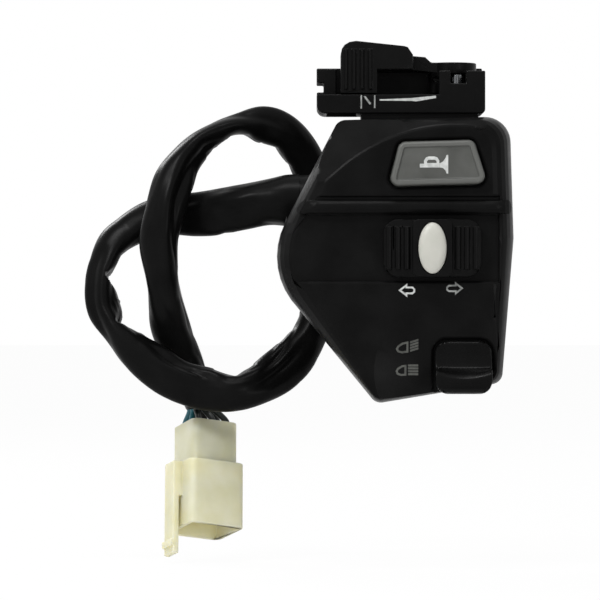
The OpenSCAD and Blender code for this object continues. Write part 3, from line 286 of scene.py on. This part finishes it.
def merged_copy(node):
    """A node's own shape, with its loose triangles joined and its flat faces made whole."""
    bm = bmesh.new()
    bm.from_mesh(nodes[node].data)
    bmesh.ops.remove_doubles(bm, verts=bm.verts, dist=0.001 * MM)
    bmesh.ops.dissolve_limit(bm, angle_limit=math.radians(0.6), verts=bm.verts, edges=bm.edges)
    return bm


def softened(node, width_mm, segments=2, limit=40, sharp=35, bm=None, finish=None):
    """A node's own shape with its moulded edges rounded."""
    slot = slot_of_node[node]
    made = make_piece("soft_" + node, bm or merged_copy(node), finish or finish_of_slot[slot],
                      body_of_node[node], (node,), sharp)
    edge = made.modifiers.new("edge", "BEVEL")
    edge.width = width_mm * MM
    edge.segments = segments
    edge.limit_method = "ANGLE"
    edge.angle_limit = math.radians(limit)
    edge.use_clamp_overlap = False
    edge.harden_normals = True
    return made


def round_edges(bm, edges, width_mm, segments=4):
    """Rounds the chosen edges of a shape."""
    bmesh.ops.bevel(bm, geom=edges, offset=width_mm * MM, offset_type="OFFSET", affect="EDGES", segments=segments,
                    profile=0.5, material=-1)


def face_edges(bm, sharper, margin_mm):
    """The outward edges on the case's face that are sharper than an angle and lie well inside its outline."""
    flat = [Vector((v.co.x, v.co.z)) for v in bm.verts]
    rim = [flat[i] for i in geometry.convex_hull_2d(flat)]
    sides = [(a, b) for a, b in zip(rim, rim[1:] + rim[:1]) if a != b]
    chosen = []
    for e in bm.edges:
        middle = (e.verts[0].co + e.verts[1].co) / 2
        if middle.y < FACE_Y + 4 * MM and e.calc_face_angle_signed(0) > math.radians(sharper):
            spot = Vector((middle.x, middle.z))
            if min(abs((b - a).normalized().cross(spot - a)) for a, b in sides) > margin_mm * MM:
                chosen.append(e)
    return chosen


# The harness sleeve: its middle line, as in the solids, and how far its wall stands from that line,
# toward the loop's middle and away from it
ROUTE = [
    (-27.2, 13, 13), (-31.2, 13, 13), (-35.2, 13, 13), (-40.5, 13, 12.8), (-45.8, 14, 12), (-51.2, 16.4, 11), (-56.8, 19.8, 10.2),
    (-62.7, 22.8, 9.6), (-68.6, 24.8, 8), (-73.9, 25.6, 4.8), (-78.2, 25.4, 0.2), (-81, 24.8, -5.4),
    (-82, 23.6, -11.7), (-81, 22, -17.9), (-77.9, 20.4, -23.6), (-73, 18.6, -28.8), (-66.8, 17, -33.2),
    (-60.2, 16, -36.8), (-53.2, 15.6, -39), (-46.2, 16.2, -39.4), (-39.6, 18, -37.8), (-34, 20.8, -34.4),
    (-28.8, 24.2, -29.4), (-24, 27.2, -22.4), (-20.2, 29, -12.2), (-19, 29, -1), (-20.4, 28.6, 10.6),
    (-24.5, 27.4, 21.8), (-28.1, 26, 27.4), (-33, 24.4, 31.5), (-38.8, 22.8, 33.8), (-45.1, 21, 34.1),
    (-51.1, 19, 32.5), (-56.4, 16.8, 29.1), (-60.3, 14.4, 24.2), (-62.6, 12, 18.4), (-64, 10.4, 10.6),
    (-64.8, 11.2, 0.6), (-64.2, 16.4, -11), (-62.2, 23.8, -22.4), (-59.2, 28.8, -33.4), (-55.6, 30, -44.5),
]
HALF_WIDTHS = [
    (7.5, 7.3), (7.3, 7.0), (7.2, 6.0), (7.8, 5.1), (7.8, 5.0), (7.7, 5.1), (7.2, 5.0), (6.4, 5.0), (5.4, 5.2), (4.6, 5.4), (3.1, 6.1),
    (2.6, 5.3), (3.6, 5.4), (4.0, 5.4), (3.4, 4.3), (5.1, 5.3), (5.7, 6.4), (5.2, 7.0), (5.6, 6.9), (4.2, 6.7),
    (4.4, 6.6), (5.3, 7.3), (4.9, 7.0), (4.6, 5.6), (5.4, 5.4), (5.5, 5.5), (5.4, 5.4), (5.2, 5.6), (4.9, 6.1),
    (4.1, 6.5), (4.7, 5.7), (3.1, 3.3), (4.6, 2.3), (5.4, 2.5), (5.8, 3.4), (6.2, 5.1), (5.4, 6.0), (3.8, 6.9),
    (3.6, 5.7), (4.3, 6.7), (5.1, 5.3), (4.2, 3.8),
]
# Kinks: place along the route, how far the wall is pressed in on the loop's side, and over what length
KINKS = [(10.25, 0.7, 2.2), (11.5, 2.9, 2.4), (13.72, 2.2, 2.2), (19.3, 0.8, 2.5), (22.6, 0.6, 2.0),
         (27.6, 0.8, 2.2), (28.8, 0.9, 2.0), (30.5, 1.0, 2.0), (31.4, 0.5, 1.6), (32.4, 0.5, 1.6)]
# Creases along the sleeve: where each starts and ends, its turn round the sleeve and its depth
CREASES = [(2.6, 4.8, 70, 1.0), (5.0, 8.0, 125, 0.7), (10.2, 14.4, 128, 0.9), (11.0, 14.0, 62, 0.8), (15.2, 18.4, 40, 0.9),
           (19.4, 22.6, 105, 1.0), (20.2, 22.2, 52, 0.8), (28.5, 31.6, 120, 0.6), (32.0, 37.5, 48, 1.1), (37.0, 40.0, 110, 0.6),
           (5.0, 7.0, -70, 0.8), (12.0, 15.0, -90, 0.8), (24.5, 28.0, -100, 0.8), (34.0, 38.0, -80, 0.8)]
GIRTH_R = 5.15 * MM
# The sleeve's mouth is pushed over the case's outlet and the grommet's collar
COLLAR_R = 7.4 * MM
COLLAR_LEN = 3.0 * MM
COLLAR_RUN = 24 * MM
STEPS = 12


def smooth_line(points, steps):
    """Points on the curve that passes through all the given ones."""
    p = [Vector(q) * MM for q in points]
    p = [2 * p[0] - p[1]] + p + [2 * p[-1] - p[-2]]
    line = []
    for a, b, c, d in zip(p, p[1:], p[2:], p[3:]):
        for s in range(steps):
            t = s / steps
            line.append(
                0.5 * (2 * b + (c - a) * t + (2 * a - 5 * b + 4 * c - d) * t * t + (3 * b - a - 3 * c + d) * t**3)
            )
    return line + [p[-2]]


def lengths_along(line):
    run = [0.0]
    for a, b in zip(line, line[1:]):
        run.append(run[-1] + (b - a).length)
    return run


def sweep(line, sides, offset):
    """A tube along a line: a ring of the given sides is extruded from point to point. offset(i, turn) gives how
    far the wall stands from the line. Turn 0 faces the middle of the loop, a quarter turn faces the viewer."""
    bm = bmesh.new()
    ring = bmesh.ops.create_circle(bm, segments=sides, radius=1.0)["verts"]
    edges = list(bm.edges)
    for i, centre in enumerate(line):
        if i:
            grown = bmesh.ops.extrude_edge_only(bm, edges=edges)["geom"]
            ring = [g for g in grown if isinstance(g, bmesh.types.BMVert)]
            new = set(ring)
            edges = [g for g in grown if isinstance(g, bmesh.types.BMEdge) and new.issuperset(g.verts)]
        ahead = (line[min(i + 1, len(line) - 1)] - line[max(i - 1, 0)]).normalized()
        aside = ahead.cross(Vector((0, 1, 0))).normalized()
        front = ahead.cross(aside)
        for k, v in enumerate(ring):
            turn = 2 * math.pi * k / sides
            v.co = centre + offset(i, turn) * (math.cos(turn) * aside + math.sin(turn) * front)
    return bm


def close_ends(bm, wall=0.0, deep=0.0):
    """Closes the open ends of a tube, with a wall's edge and a dark mouth where a wall is given."""
    rims = [e for e in bm.edges if e.is_boundary]
    if wall:
        grown = bmesh.ops.extrude_edge_only(bm, edges=rims)["geom"]
        lip = [g for g in grown if isinstance(g, bmesh.types.BMVert)]
        for v in lip:
            own = line[0] if (v.co - line[0]).length < (v.co - line[-1]).length else line[-1]
            v.co -= (v.co - own).normalized() * wall
        new = set(lip)
        rims = [g for g in grown if isinstance(g, bmesh.types.BMEdge) and new.issuperset(g.verts)]
        grown = bmesh.ops.extrude_edge_only(bm, edges=rims)["geom"]
        floor_ring = [g for g in grown if isinstance(g, bmesh.types.BMVert)]
        for v in floor_ring:
            first = (v.co - line[0]).length < (v.co - line[-1]).length
            v.co += deep * ((line[1] - line[0]) if first else (line[-2] - line[-1])).normalized()
        new = set(floor_ring)
        rims = [g for g in grown if isinstance(g, bmesh.types.BMEdge) and new.issuperset(g.verts)]
    bmesh.ops.holes_fill(bm, edges=rims, sides=0)
    bmesh.ops.recalc_face_normals(bm, faces=bm.faces)


line = smooth_line(ROUTE, STEPS)
run = lengths_along(line)
half_widths = smooth_line([(a, b, 0) for a, b in HALF_WIDTHS], STEPS)


def run_at(u):
    """Length along the sleeve at a place of the route."""
    i = min(int(u * STEPS), len(run) - 2)
    return run[i] + (u * STEPS - i) * (run[i + 1] - run[i])


def between(value, low, high, soft):
    """1 between low and high, falling to 0 over the distance soft."""
    return max(0.0, min(1.0, (value - low) / soft, (high - value) / soft))


def sleeve_wall(i, turn):
    """How far the slack, flattened and kinked sleeve stands from its middle line."""
    u, s = i / STEPS, run[i]
    inner, outer = half_widths[i].x, half_widths[i].y
    across = (inner + outer) / 2
    deep = math.sqrt(max(2 * GIRTH_R**2 - across**2, (3.2 * MM) ** 2))
    past = max(0.0, min(1.0, (s - COLLAR_LEN) / COLLAR_RUN))
    deep += (COLLAR_R - deep) * (1 - past * past * (3 - 2 * past))
    c, q = math.cos(turn), math.sin(turn)
    side = inner if c > 0 else outer
    r = 1 / math.sqrt((c / side) ** 2 + (q / deep) ** 2)
    for place, depth, length in KINKS:
        off = abs(s - run_at(place)) / (length * MM)
        if c > 0.02 and off < 3:
            flat = (inner - depth * MM * math.exp(-(off**1.4))) / c
            soft = 0.35 * MM
            r = -soft * math.log(math.exp(-r / soft) + math.exp(-max(flat, 0.0) / soft))
    for start, end, at, depth in CREASES:
        away = (turn - math.radians(at) + math.pi) % (2 * math.pi) - math.pi
        wander = 0.25 * noise.noise(Vector((s / (11 * MM), at, 0)))
        away += wander
        dent = math.exp(-abs(away / 0.3) ** 1.5) - 0.45 * math.exp(-(((away - 0.62) / 0.3) ** 2))
        r -= depth * MM * between(u, start, end, 0.9) * dent
    ends = between(s, 0, run[-1], 9 * MM)
    round_about = Vector((1.1 * c, 1.1 * q, 0))
    lumps = noise.noise(round_about + Vector((0, 0, s / (17 * MM))))
    fold = noise.noise(round_about * 1.2 + Vector((4.1, 2.3, s / (11 * MM) + 0.5 * q)))
    inside = 0.3 + 0.7 * max(c, 0)
    r += ends * MM * (0.4 * lumps - 0.35 * inside * max(0, 1 - 3 * abs(fold)) ** 1.5)
    return max(r, 0.25 * MM)


bm = sweep(line, 56, sleeve_wall)
close_ends(bm, 0.9 * MM, 4 * MM)
sleeve = make_piece("harness_sleeving", bm, pvc_sleeving, "case", ("harness_sleeve",), 80)

# The connector: its place and turn as in the solids, and the wires from the sleeve's end into its cavities
CONNECTOR = (
    Matrix.Translation(Vector((-53.7, 30, -50.4)) * MM)
    @ Matrix.Rotation(math.radians(-17), 4, "X")
    @ Matrix.Rotation(math.radians(27), 4, "Z")
)
WIRE_R = 0.9 * MM
way = (line[-1] - Vector(ROUTE[-2]) * MM).normalized()
beside = way.cross(Vector((0, 1, 0))).normalized()
turned = Matrix.Rotation(math.radians(27), 2)


def wire(points):
    """One covered wire through points in millimetres."""
    bm = sweep(smooth_line(points, 8), 16, lambda i, turn: WIRE_R)
    close_ends(bm)
    return bm


def tail_wire(column, row):
    """A wire from the sleeve's mouth into the cavity at a column and row of the connector."""
    place = turned @ Vector((2.2 * column, 2.2 * row))
    start = line[-1] / MM + place.x * beside - place.y * way.cross(beside)
    hole = Vector((4.3 * column, 4.3 * row, 0)) * MM
    mouth = CONNECTOR @ (hole + Vector((0, 0, 0.8 * MM))) / MM
    seat = CONNECTOR @ (hole - Vector((0, 0, 2.8 * MM))) / MM
    return wire([start - 3 * way, start - 0.6 * way, start + 1.2 * way, mouth, seat])


def joined(parts):
    """Several shapes as one."""
    whole = bmesh.new()
    for part in parts:
        mesh = bpy.data.meshes.new("part")
        part.to_mesh(mesh)
        part.free()
        whole.from_mesh(mesh)
        bpy.data.meshes.remove(mesh)
    return whole


def bundle(name, wires, finish, node):
    """Several wires as one piece."""
    return make_piece(name, joined(wires), finish, body_of_node[node], (node,), 60)


blue = bundle("tail_wires_covered_blue", [tail_wire(-1, 0), tail_wire(-1, 1)], wire_blue, "tail_wires_blue")
dark = bundle("tail_wires_covered_dark",
              [tail_wire(*p) for p in ((-1, -1), (0, -1), (0, 0), (0, 1), (1, -1), (1, 0))],
              wire_dark, "tail_wires_dark")
GROMMET_END = [(-16.5, 13, 13), (-22, 13, 13)]
INNER_WIRES = [
    ([(-3, -10.7, 17.5), (-6.5, -9.2, 14.6), (-12, -7, 14.4), (-16, 0, 15.2), (-14.5, 7, 15.3)], 90),
    ([(-4, -12.6, 4.15), (-8.5, -12, 8.2), (-14, -10, 11), (-17, -2, 13), (-15.5, 7, 12.4)], 210),
    ([(0, -4, -29), (-6, 5, -24), (-12, 12, -15), (-16, 15.5, -2), (-15, 15, 7)], 330),
]
bundle("inner_wires_covered",
       [wire(start + [Vector(p) + 1.9 * Vector((0, math.cos(math.radians(a)), math.sin(math.radians(a))))
                      for p in GROMMET_END]) for start, a in INNER_WIRES],
       wire_dark, "inner_wires")

bm = merged_copy("connector_housing")
local = CONNECTOR.inverted()
corners = []
for e in bm.edges:
    a, b = (local @ v.co / MM for v in e.verts)
    for half in (7.1, 8.5):
        if all(abs(abs(p[k]) - half) < 0.02 for p in (a, b) for k in (0, 1)) and abs(a.z - b.z) > 4:
            corners.append(e)
round_edges(bm, corners, 2.3, 5)
connector = softened("connector_housing", 0.25, bm=bm)

# Case and controls
bm = merged_copy("front_case")
round_edges(bm, face_edges(bm, 25, 2.5), 0.8, 3)
front = make_piece("soft_front_case", bm, abs_grained, "case", ("front_case",), 9)
front.modifiers.new("shading", "WEIGHTED_NORMAL").keep_sharp = True
softened("rear_case", 0.35)
softened("turn_slider", 0.2)
for node in ("choke_lever", "horn_button"):
    softened(node, 0.35, 3)

# The choke's rail: its lower ends are rounded, and its free arm is hollow below, as it is moulded
RAIL_FREE_END = -10.8
bm = merged_copy("choke_bracket")
low, high = (Vector(c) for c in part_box("choke_bracket"))
for end, radius in ((low.x, 2.2), (high.x, 1.2)):
    round_edges(bm, [e for e in bm.edges if all((v.co - Vector((end, v.co.y, low.z))).length < 0.02 * MM
                                                for v in e.verts)], radius, 6)


def rail_underside():
    return [f for f in bm.faces if f.normal.z < -0.999 and f.calc_center_median().z < low.z + 0.02 * MM]


under = rail_underside()
parts = {part for f in under for part in [f, *f.edges, *f.verts]}
bmesh.ops.bisect_plane(bm, geom=list(parts), plane_co=(RAIL_FREE_END * MM, 0, 0), plane_no=(1, 0, 0))
free = [f for f in rail_underside() if f.calc_center_median().x < RAIL_FREE_END * MM]
bmesh.ops.inset_region(bm, faces=free, thickness=0.6 * MM, use_boundary=True, use_even_offset=True)
bmesh.ops.inset_region(bm, faces=free, thickness=0.2 * MM, depth=-2.2 * MM, use_boundary=True, use_even_offset=True)
softened("choke_bracket", 0.35, 3, bm=bm)

# The rocker's lip bows: its ends rise toward the pad. Heights are from the rocker's pivot.
PIVOT_Z = -32.0
LIP_FRONT_Y = -28.0
LIP_BOW = 1.3
bm = merged_copy("beam_rocker")
low, high = (Vector(c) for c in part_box("beam_rocker"))
half = (high.x - low.x) / 2
for step in range(1, 16):
    bmesh.ops.bisect_plane(bm, geom=bm.verts[:] + bm.edges[:] + bm.faces[:], plane_no=(1, 0, 0),
                           plane_co=(low.x + half * step / 8, 0, 0))
for v in bm.verts:
    if v.co.y < LIP_FRONT_Y * MM:
        out = (v.co.x - low.x) / half - 1
        share = between(v.co.z / MM - PIVOT_Z, -7.2, 2.4, 3.4)
        v.co.z += LIP_BOW * MM * (out * out - 0.5) * share
softened("beam_rocker", 0.4, 4, limit=25, bm=bm, finish=abs_gloss)
softened("harness_grommet", 0.4)
softened("case_screws", 0.25)
softened("choke_pivot_screw", 0.2)
softened("choke_barrel", 0.2)

# The springs that a button presses together: each is a zinc-plated copy of its node, with a mesh of its own
for joint in frame["joints"]:
    for spring in joint.get("deforming_nodes", ()):
        if spring["mode"] == "scale_y":
            node = spring["node"]
            coil = make_piece("coil_" + node, merged_copy(node), zinc_plate, body_of_node[node], (node,), 50)
            end = spring["fixed_end_y_m"]
            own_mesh(coil)

# The oval button: a dome on the outline of the solid, with the stem behind it
low, high = (Vector(c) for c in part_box("cancel_button"))
OVAL = ((low.x + high.x) / 2, (low.z + high.z) / 2, (high.x - low.x) / 2, (high.z - low.z) / 2)
DOME = 1.7 * MM
bm = bmesh.new()
bmesh.ops.create_uvsphere(bm, u_segments=64, v_segments=32, radius=1.0)
bmesh.ops.rotate(bm, verts=bm.verts, cent=(0, 0, 0), matrix=Matrix.Rotation(math.pi / 2, 3, "X"))
bmesh.ops.bisect_plane(bm, geom=bm.verts[:] + bm.edges[:] + bm.faces[:], plane_co=(0, -0.001, 0), plane_no=(0, 1, 0),
                       clear_outer=True)
bmesh.ops.scale(bm, verts=bm.verts, vec=(OVAL[2], DOME, OVAL[3]))
bmesh.ops.translate(bm, verts=bm.verts, vec=(OVAL[0], low.y + DOME, OVAL[1]))
grown = bmesh.ops.extrude_edge_only(bm, edges=[e for e in bm.edges if e.is_boundary])["geom"]
bmesh.ops.translate(bm, verts=[g for g in grown if isinstance(g, bmesh.types.BMVert)], vec=(0, 3 * MM - DOME, 0))
bmesh.ops.holes_fill(bm, edges=[e for e in bm.edges if e.is_boundary], sides=0)
stem_back, stem_front = high.y, low.y + 2.9 * MM
bmesh.ops.create_cone(bm, cap_ends=True, segments=32, radius1=1.5 * MM, radius2=1.5 * MM, depth=stem_back - stem_front,
                      matrix=Matrix.Translation((OVAL[0], (stem_front + stem_back) / 2, OVAL[1]))
                      @ Matrix.Rotation(math.pi / 2, 4, "X"))
bmesh.ops.recalc_face_normals(bm, faces=bm.faces)
make_piece("cancel_dome", bm, acetal_white, "cancel", ("cancel_button",), 40)


# Printed signs: outlines in pixels of the view, laid on the piece that carries them
def sign(name, node, ink, outlines, stroke=0.0, lift_mm=0.06):
    """Thin ink in the given outlines on a node's surface. A stroke leaves only a line along each outline."""
    solid = bmesh.new()
    solid.from_mesh(nodes[node].data)
    carrier = BVHTree.FromBMesh(solid)
    solid.free()
    marks = []
    for outline in outlines:
        bm = bmesh.new()
        face = bm.faces.new([bm.verts.new((px, py, 0)) for px, py in outline])
        face.normal_update()
        if stroke:
            bmesh.ops.inset_region(bm, faces=[face], thickness=stroke, use_boundary=True, use_even_offset=True)
            bm.faces.remove(face)
        bmesh.ops.triangulate(bm, faces=bm.faces)
        for _ in range(2):
            long = [e for e in bm.edges if e.calc_length() > 3]
            bmesh.ops.subdivide_edges(bm, edges=long, cuts=1, use_grid_fill=True)
        bmesh.ops.triangulate(bm, faces=bm.faces)
        grown = bmesh.ops.extrude_face_region(bm, geom=bm.faces[:])["geom"]
        top = {g for g in grown if isinstance(g, bmesh.types.BMVert)}
        for v in bm.verts:
            ray = (at_pixel(v.co.x, v.co.y) - camera.location).normalized()
            spot, normal, _, _ = carrier.ray_cast(camera.location, ray)
            v.co = spot + normal * MM * (lift_mm if v in top else -0.02)
        bmesh.ops.recalc_face_normals(bm, faces=bm.faces)
        if bm.calc_volume(signed=True) < 0:
            bmesh.ops.reverse_faces(bm, faces=bm.faces)
        marks.append(bm)
    make_piece(name, joined(marks), ink, body_of_node[node], (), 40)


sign("sign_horn", "horn_button", ink_white, [
    [(419.8, 163.7), (424, 163.7), (424, 167.5), (419.8, 167.5)],
    [(424, 163), (439.7, 163), (439.7, 167.5), (424, 167.5)],
    [(424, 163), (424, 160.5), (426, 157.4), (429, 156.4), (434.4, 156.4), (437.4, 157.4), (439.3, 160.5), (439.3, 163),
     (436.6, 163), (436.6, 161.2), (435.2, 159.8), (428.4, 159.8), (427, 161.2), (427, 163)],
    [(439.9, 163.2), (443, 161.5), (445.6, 157.8), (446.6, 154.9), (448.2, 154.9), (448.2, 173.6), (446.6, 173.6),
     (445.6, 170.6), (443, 168), (439.9, 167.5)],
])
sign("sign_turn_left", "front_case", ink_white, [
    [(398.4, 290.2), (407.3, 283.5), (407.3, 286.6), (412.8, 286.6), (415.2, 288.8), (415.2, 292), (412.8, 294.2),
     (407.3, 294.2), (407.3, 297.2)],
], 1.8)
sign("sign_turn_right", "front_case", ink_worn, [
    [(463.3, 288.2), (455, 281.7), (455, 284.7), (448.6, 284.9), (446.2, 287), (446.2, 290), (448.6, 292),
     (455, 292), (455, 295.1)],
], 1.7)
sign("sign_low_lamp", "front_case", ink_grey, [
    [(408.4, 341.3), (402.2, 342.6), (397.6, 345.6), (395.7, 349), (397.6, 352.2), (402, 353.4), (408.4, 352.4)],
], 2.0)
sign("sign_low_rays", "front_case", ink_grey, [
    [(410, y), (418.4, y - 2.6), (418.4, y - 0.5), (410, y + 2.1)] for y in (341.4, 344.2, 347, 349.8)
])
sign("sign_high_lamp", "front_case", ink_grey, [
    [(406.4, 364.6), (401.5, 365.4), (397.2, 368), (395.6, 371), (396.6, 374.4), (401, 376), (406.4, 375.6)],
], 2.0)
sign("sign_high_rays", "front_case", ink_grey, [
    [(408, y), (418.2, y), (418.2, y + 2.1), (408, y + 2.1)] for y in (364.4, 367.3, 370.2, 373.1)
])
sign("sign_choke", "choke_bracket", ink_worn, [
    [(360.6, 95.2), (362, 95.2), (362, 108.6), (360.6, 108.6)],
    [(363.6, 96.4), (365.4, 96), (371.2, 103.4), (369.8, 104.8)],
    [(374, 95.2), (375.4, 95.2), (375.4, 108), (374, 108)],
])
sign("sign_choke_wedge", "choke_bracket", ink_white, [
    [(379.6, 99.4), (412, 98), (436, 95.6), (436, 98), (416, 101.4), (411, 100.9), (379.6, 100.5)],
])

# Floor, light and background
lowest = min(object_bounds()[0][2], solid_box[0][2])
bm = bmesh.new()
bmesh.ops.create_grid(bm, x_segments=1, y_segments=1, size=6.0)
bmesh.ops.translate(bm, verts=bm.verts, vec=(0, 0, lowest - 1.5 * MM))
mesh = bpy.data.meshes.new("floor")
bm.to_mesh(mesh)
bm.free()
floor = bpy.data.objects.new("floor", mesh)
scene.collection.objects.link(floor)
paint, tree, shader, place = surface("floor_white", **{"Base Color": srgb("#f4f4f4"), "Roughness": 0.9})
seen = add(tree, "ShaderNodeLightPath")
glow = add(tree, "ShaderNodeEmission", {"Color": (1, 1, 1, 1), "Strength": 1.0})
blend = add(tree, "ShaderNodeMath", {1: 0.965}, {0: seen.outputs["Is Camera Ray"]}, operation="MULTIPLY")
mixed = add(tree, "ShaderNodeMixShader", links={0: blend.outputs[0], 1: shader.outputs[0], 2: glow.outputs[0]})
tree.links.new(mixed.outputs[0], tree.nodes["Material Output"].inputs["Surface"])
mesh.materials.append(paint)

world = bpy.data.worlds.new("studio")
scene.world = world
world.use_nodes = True
tree = world.node_tree
seen = add(tree, "ShaderNodeLightPath")
shown = add(tree, "ShaderNodeMath", links={0: seen.outputs["Is Camera Ray"], 1: seen.outputs["Is Glossy Ray"]},
            operation="MAXIMUM")
shown = add(tree, "ShaderNodeMath", links={0: shown.outputs[0], 1: seen.outputs["Is Transmission Ray"]},
            operation="MAXIMUM")
level = add(tree, "ShaderNodeMapRange", {"To Min": 0.3, "To Max": 1.0}, {"Value": shown.outputs[0]})
tree.links.new(level.outputs["Result"], tree.nodes["Background"].inputs["Strength"])
tree.nodes["Background"].inputs["Color"].default_value = (1, 1, 1, 1)


def lamp(name, where, toward, size, watts):
    made = bpy.data.objects.new(name, bpy.data.lights.new(name, "AREA"))
    made.data.size = size
    made.data.energy = watts
    made.location = where
    made.rotation_euler = (Vector(toward) - Vector(where)).to_track_quat("-Z", "Y").to_euler()
    scene.collection.objects.link(made)


lamp("key", (-0.6, -0.8, 0.75), (-0.02, 0, 0), 0.22, 6.8)
lamp("top", (-0.1, -0.4, 1.0), (-0.02, 0, 0), 0.28, 4.3)
lamp("fill", (0.6, -0.95, -0.1), (0, 0, 0), 0.22, 2.6)
lamp("back", (-0.6, 0.75, 0.6), (0, 0, 0), 0.35, 5.5)
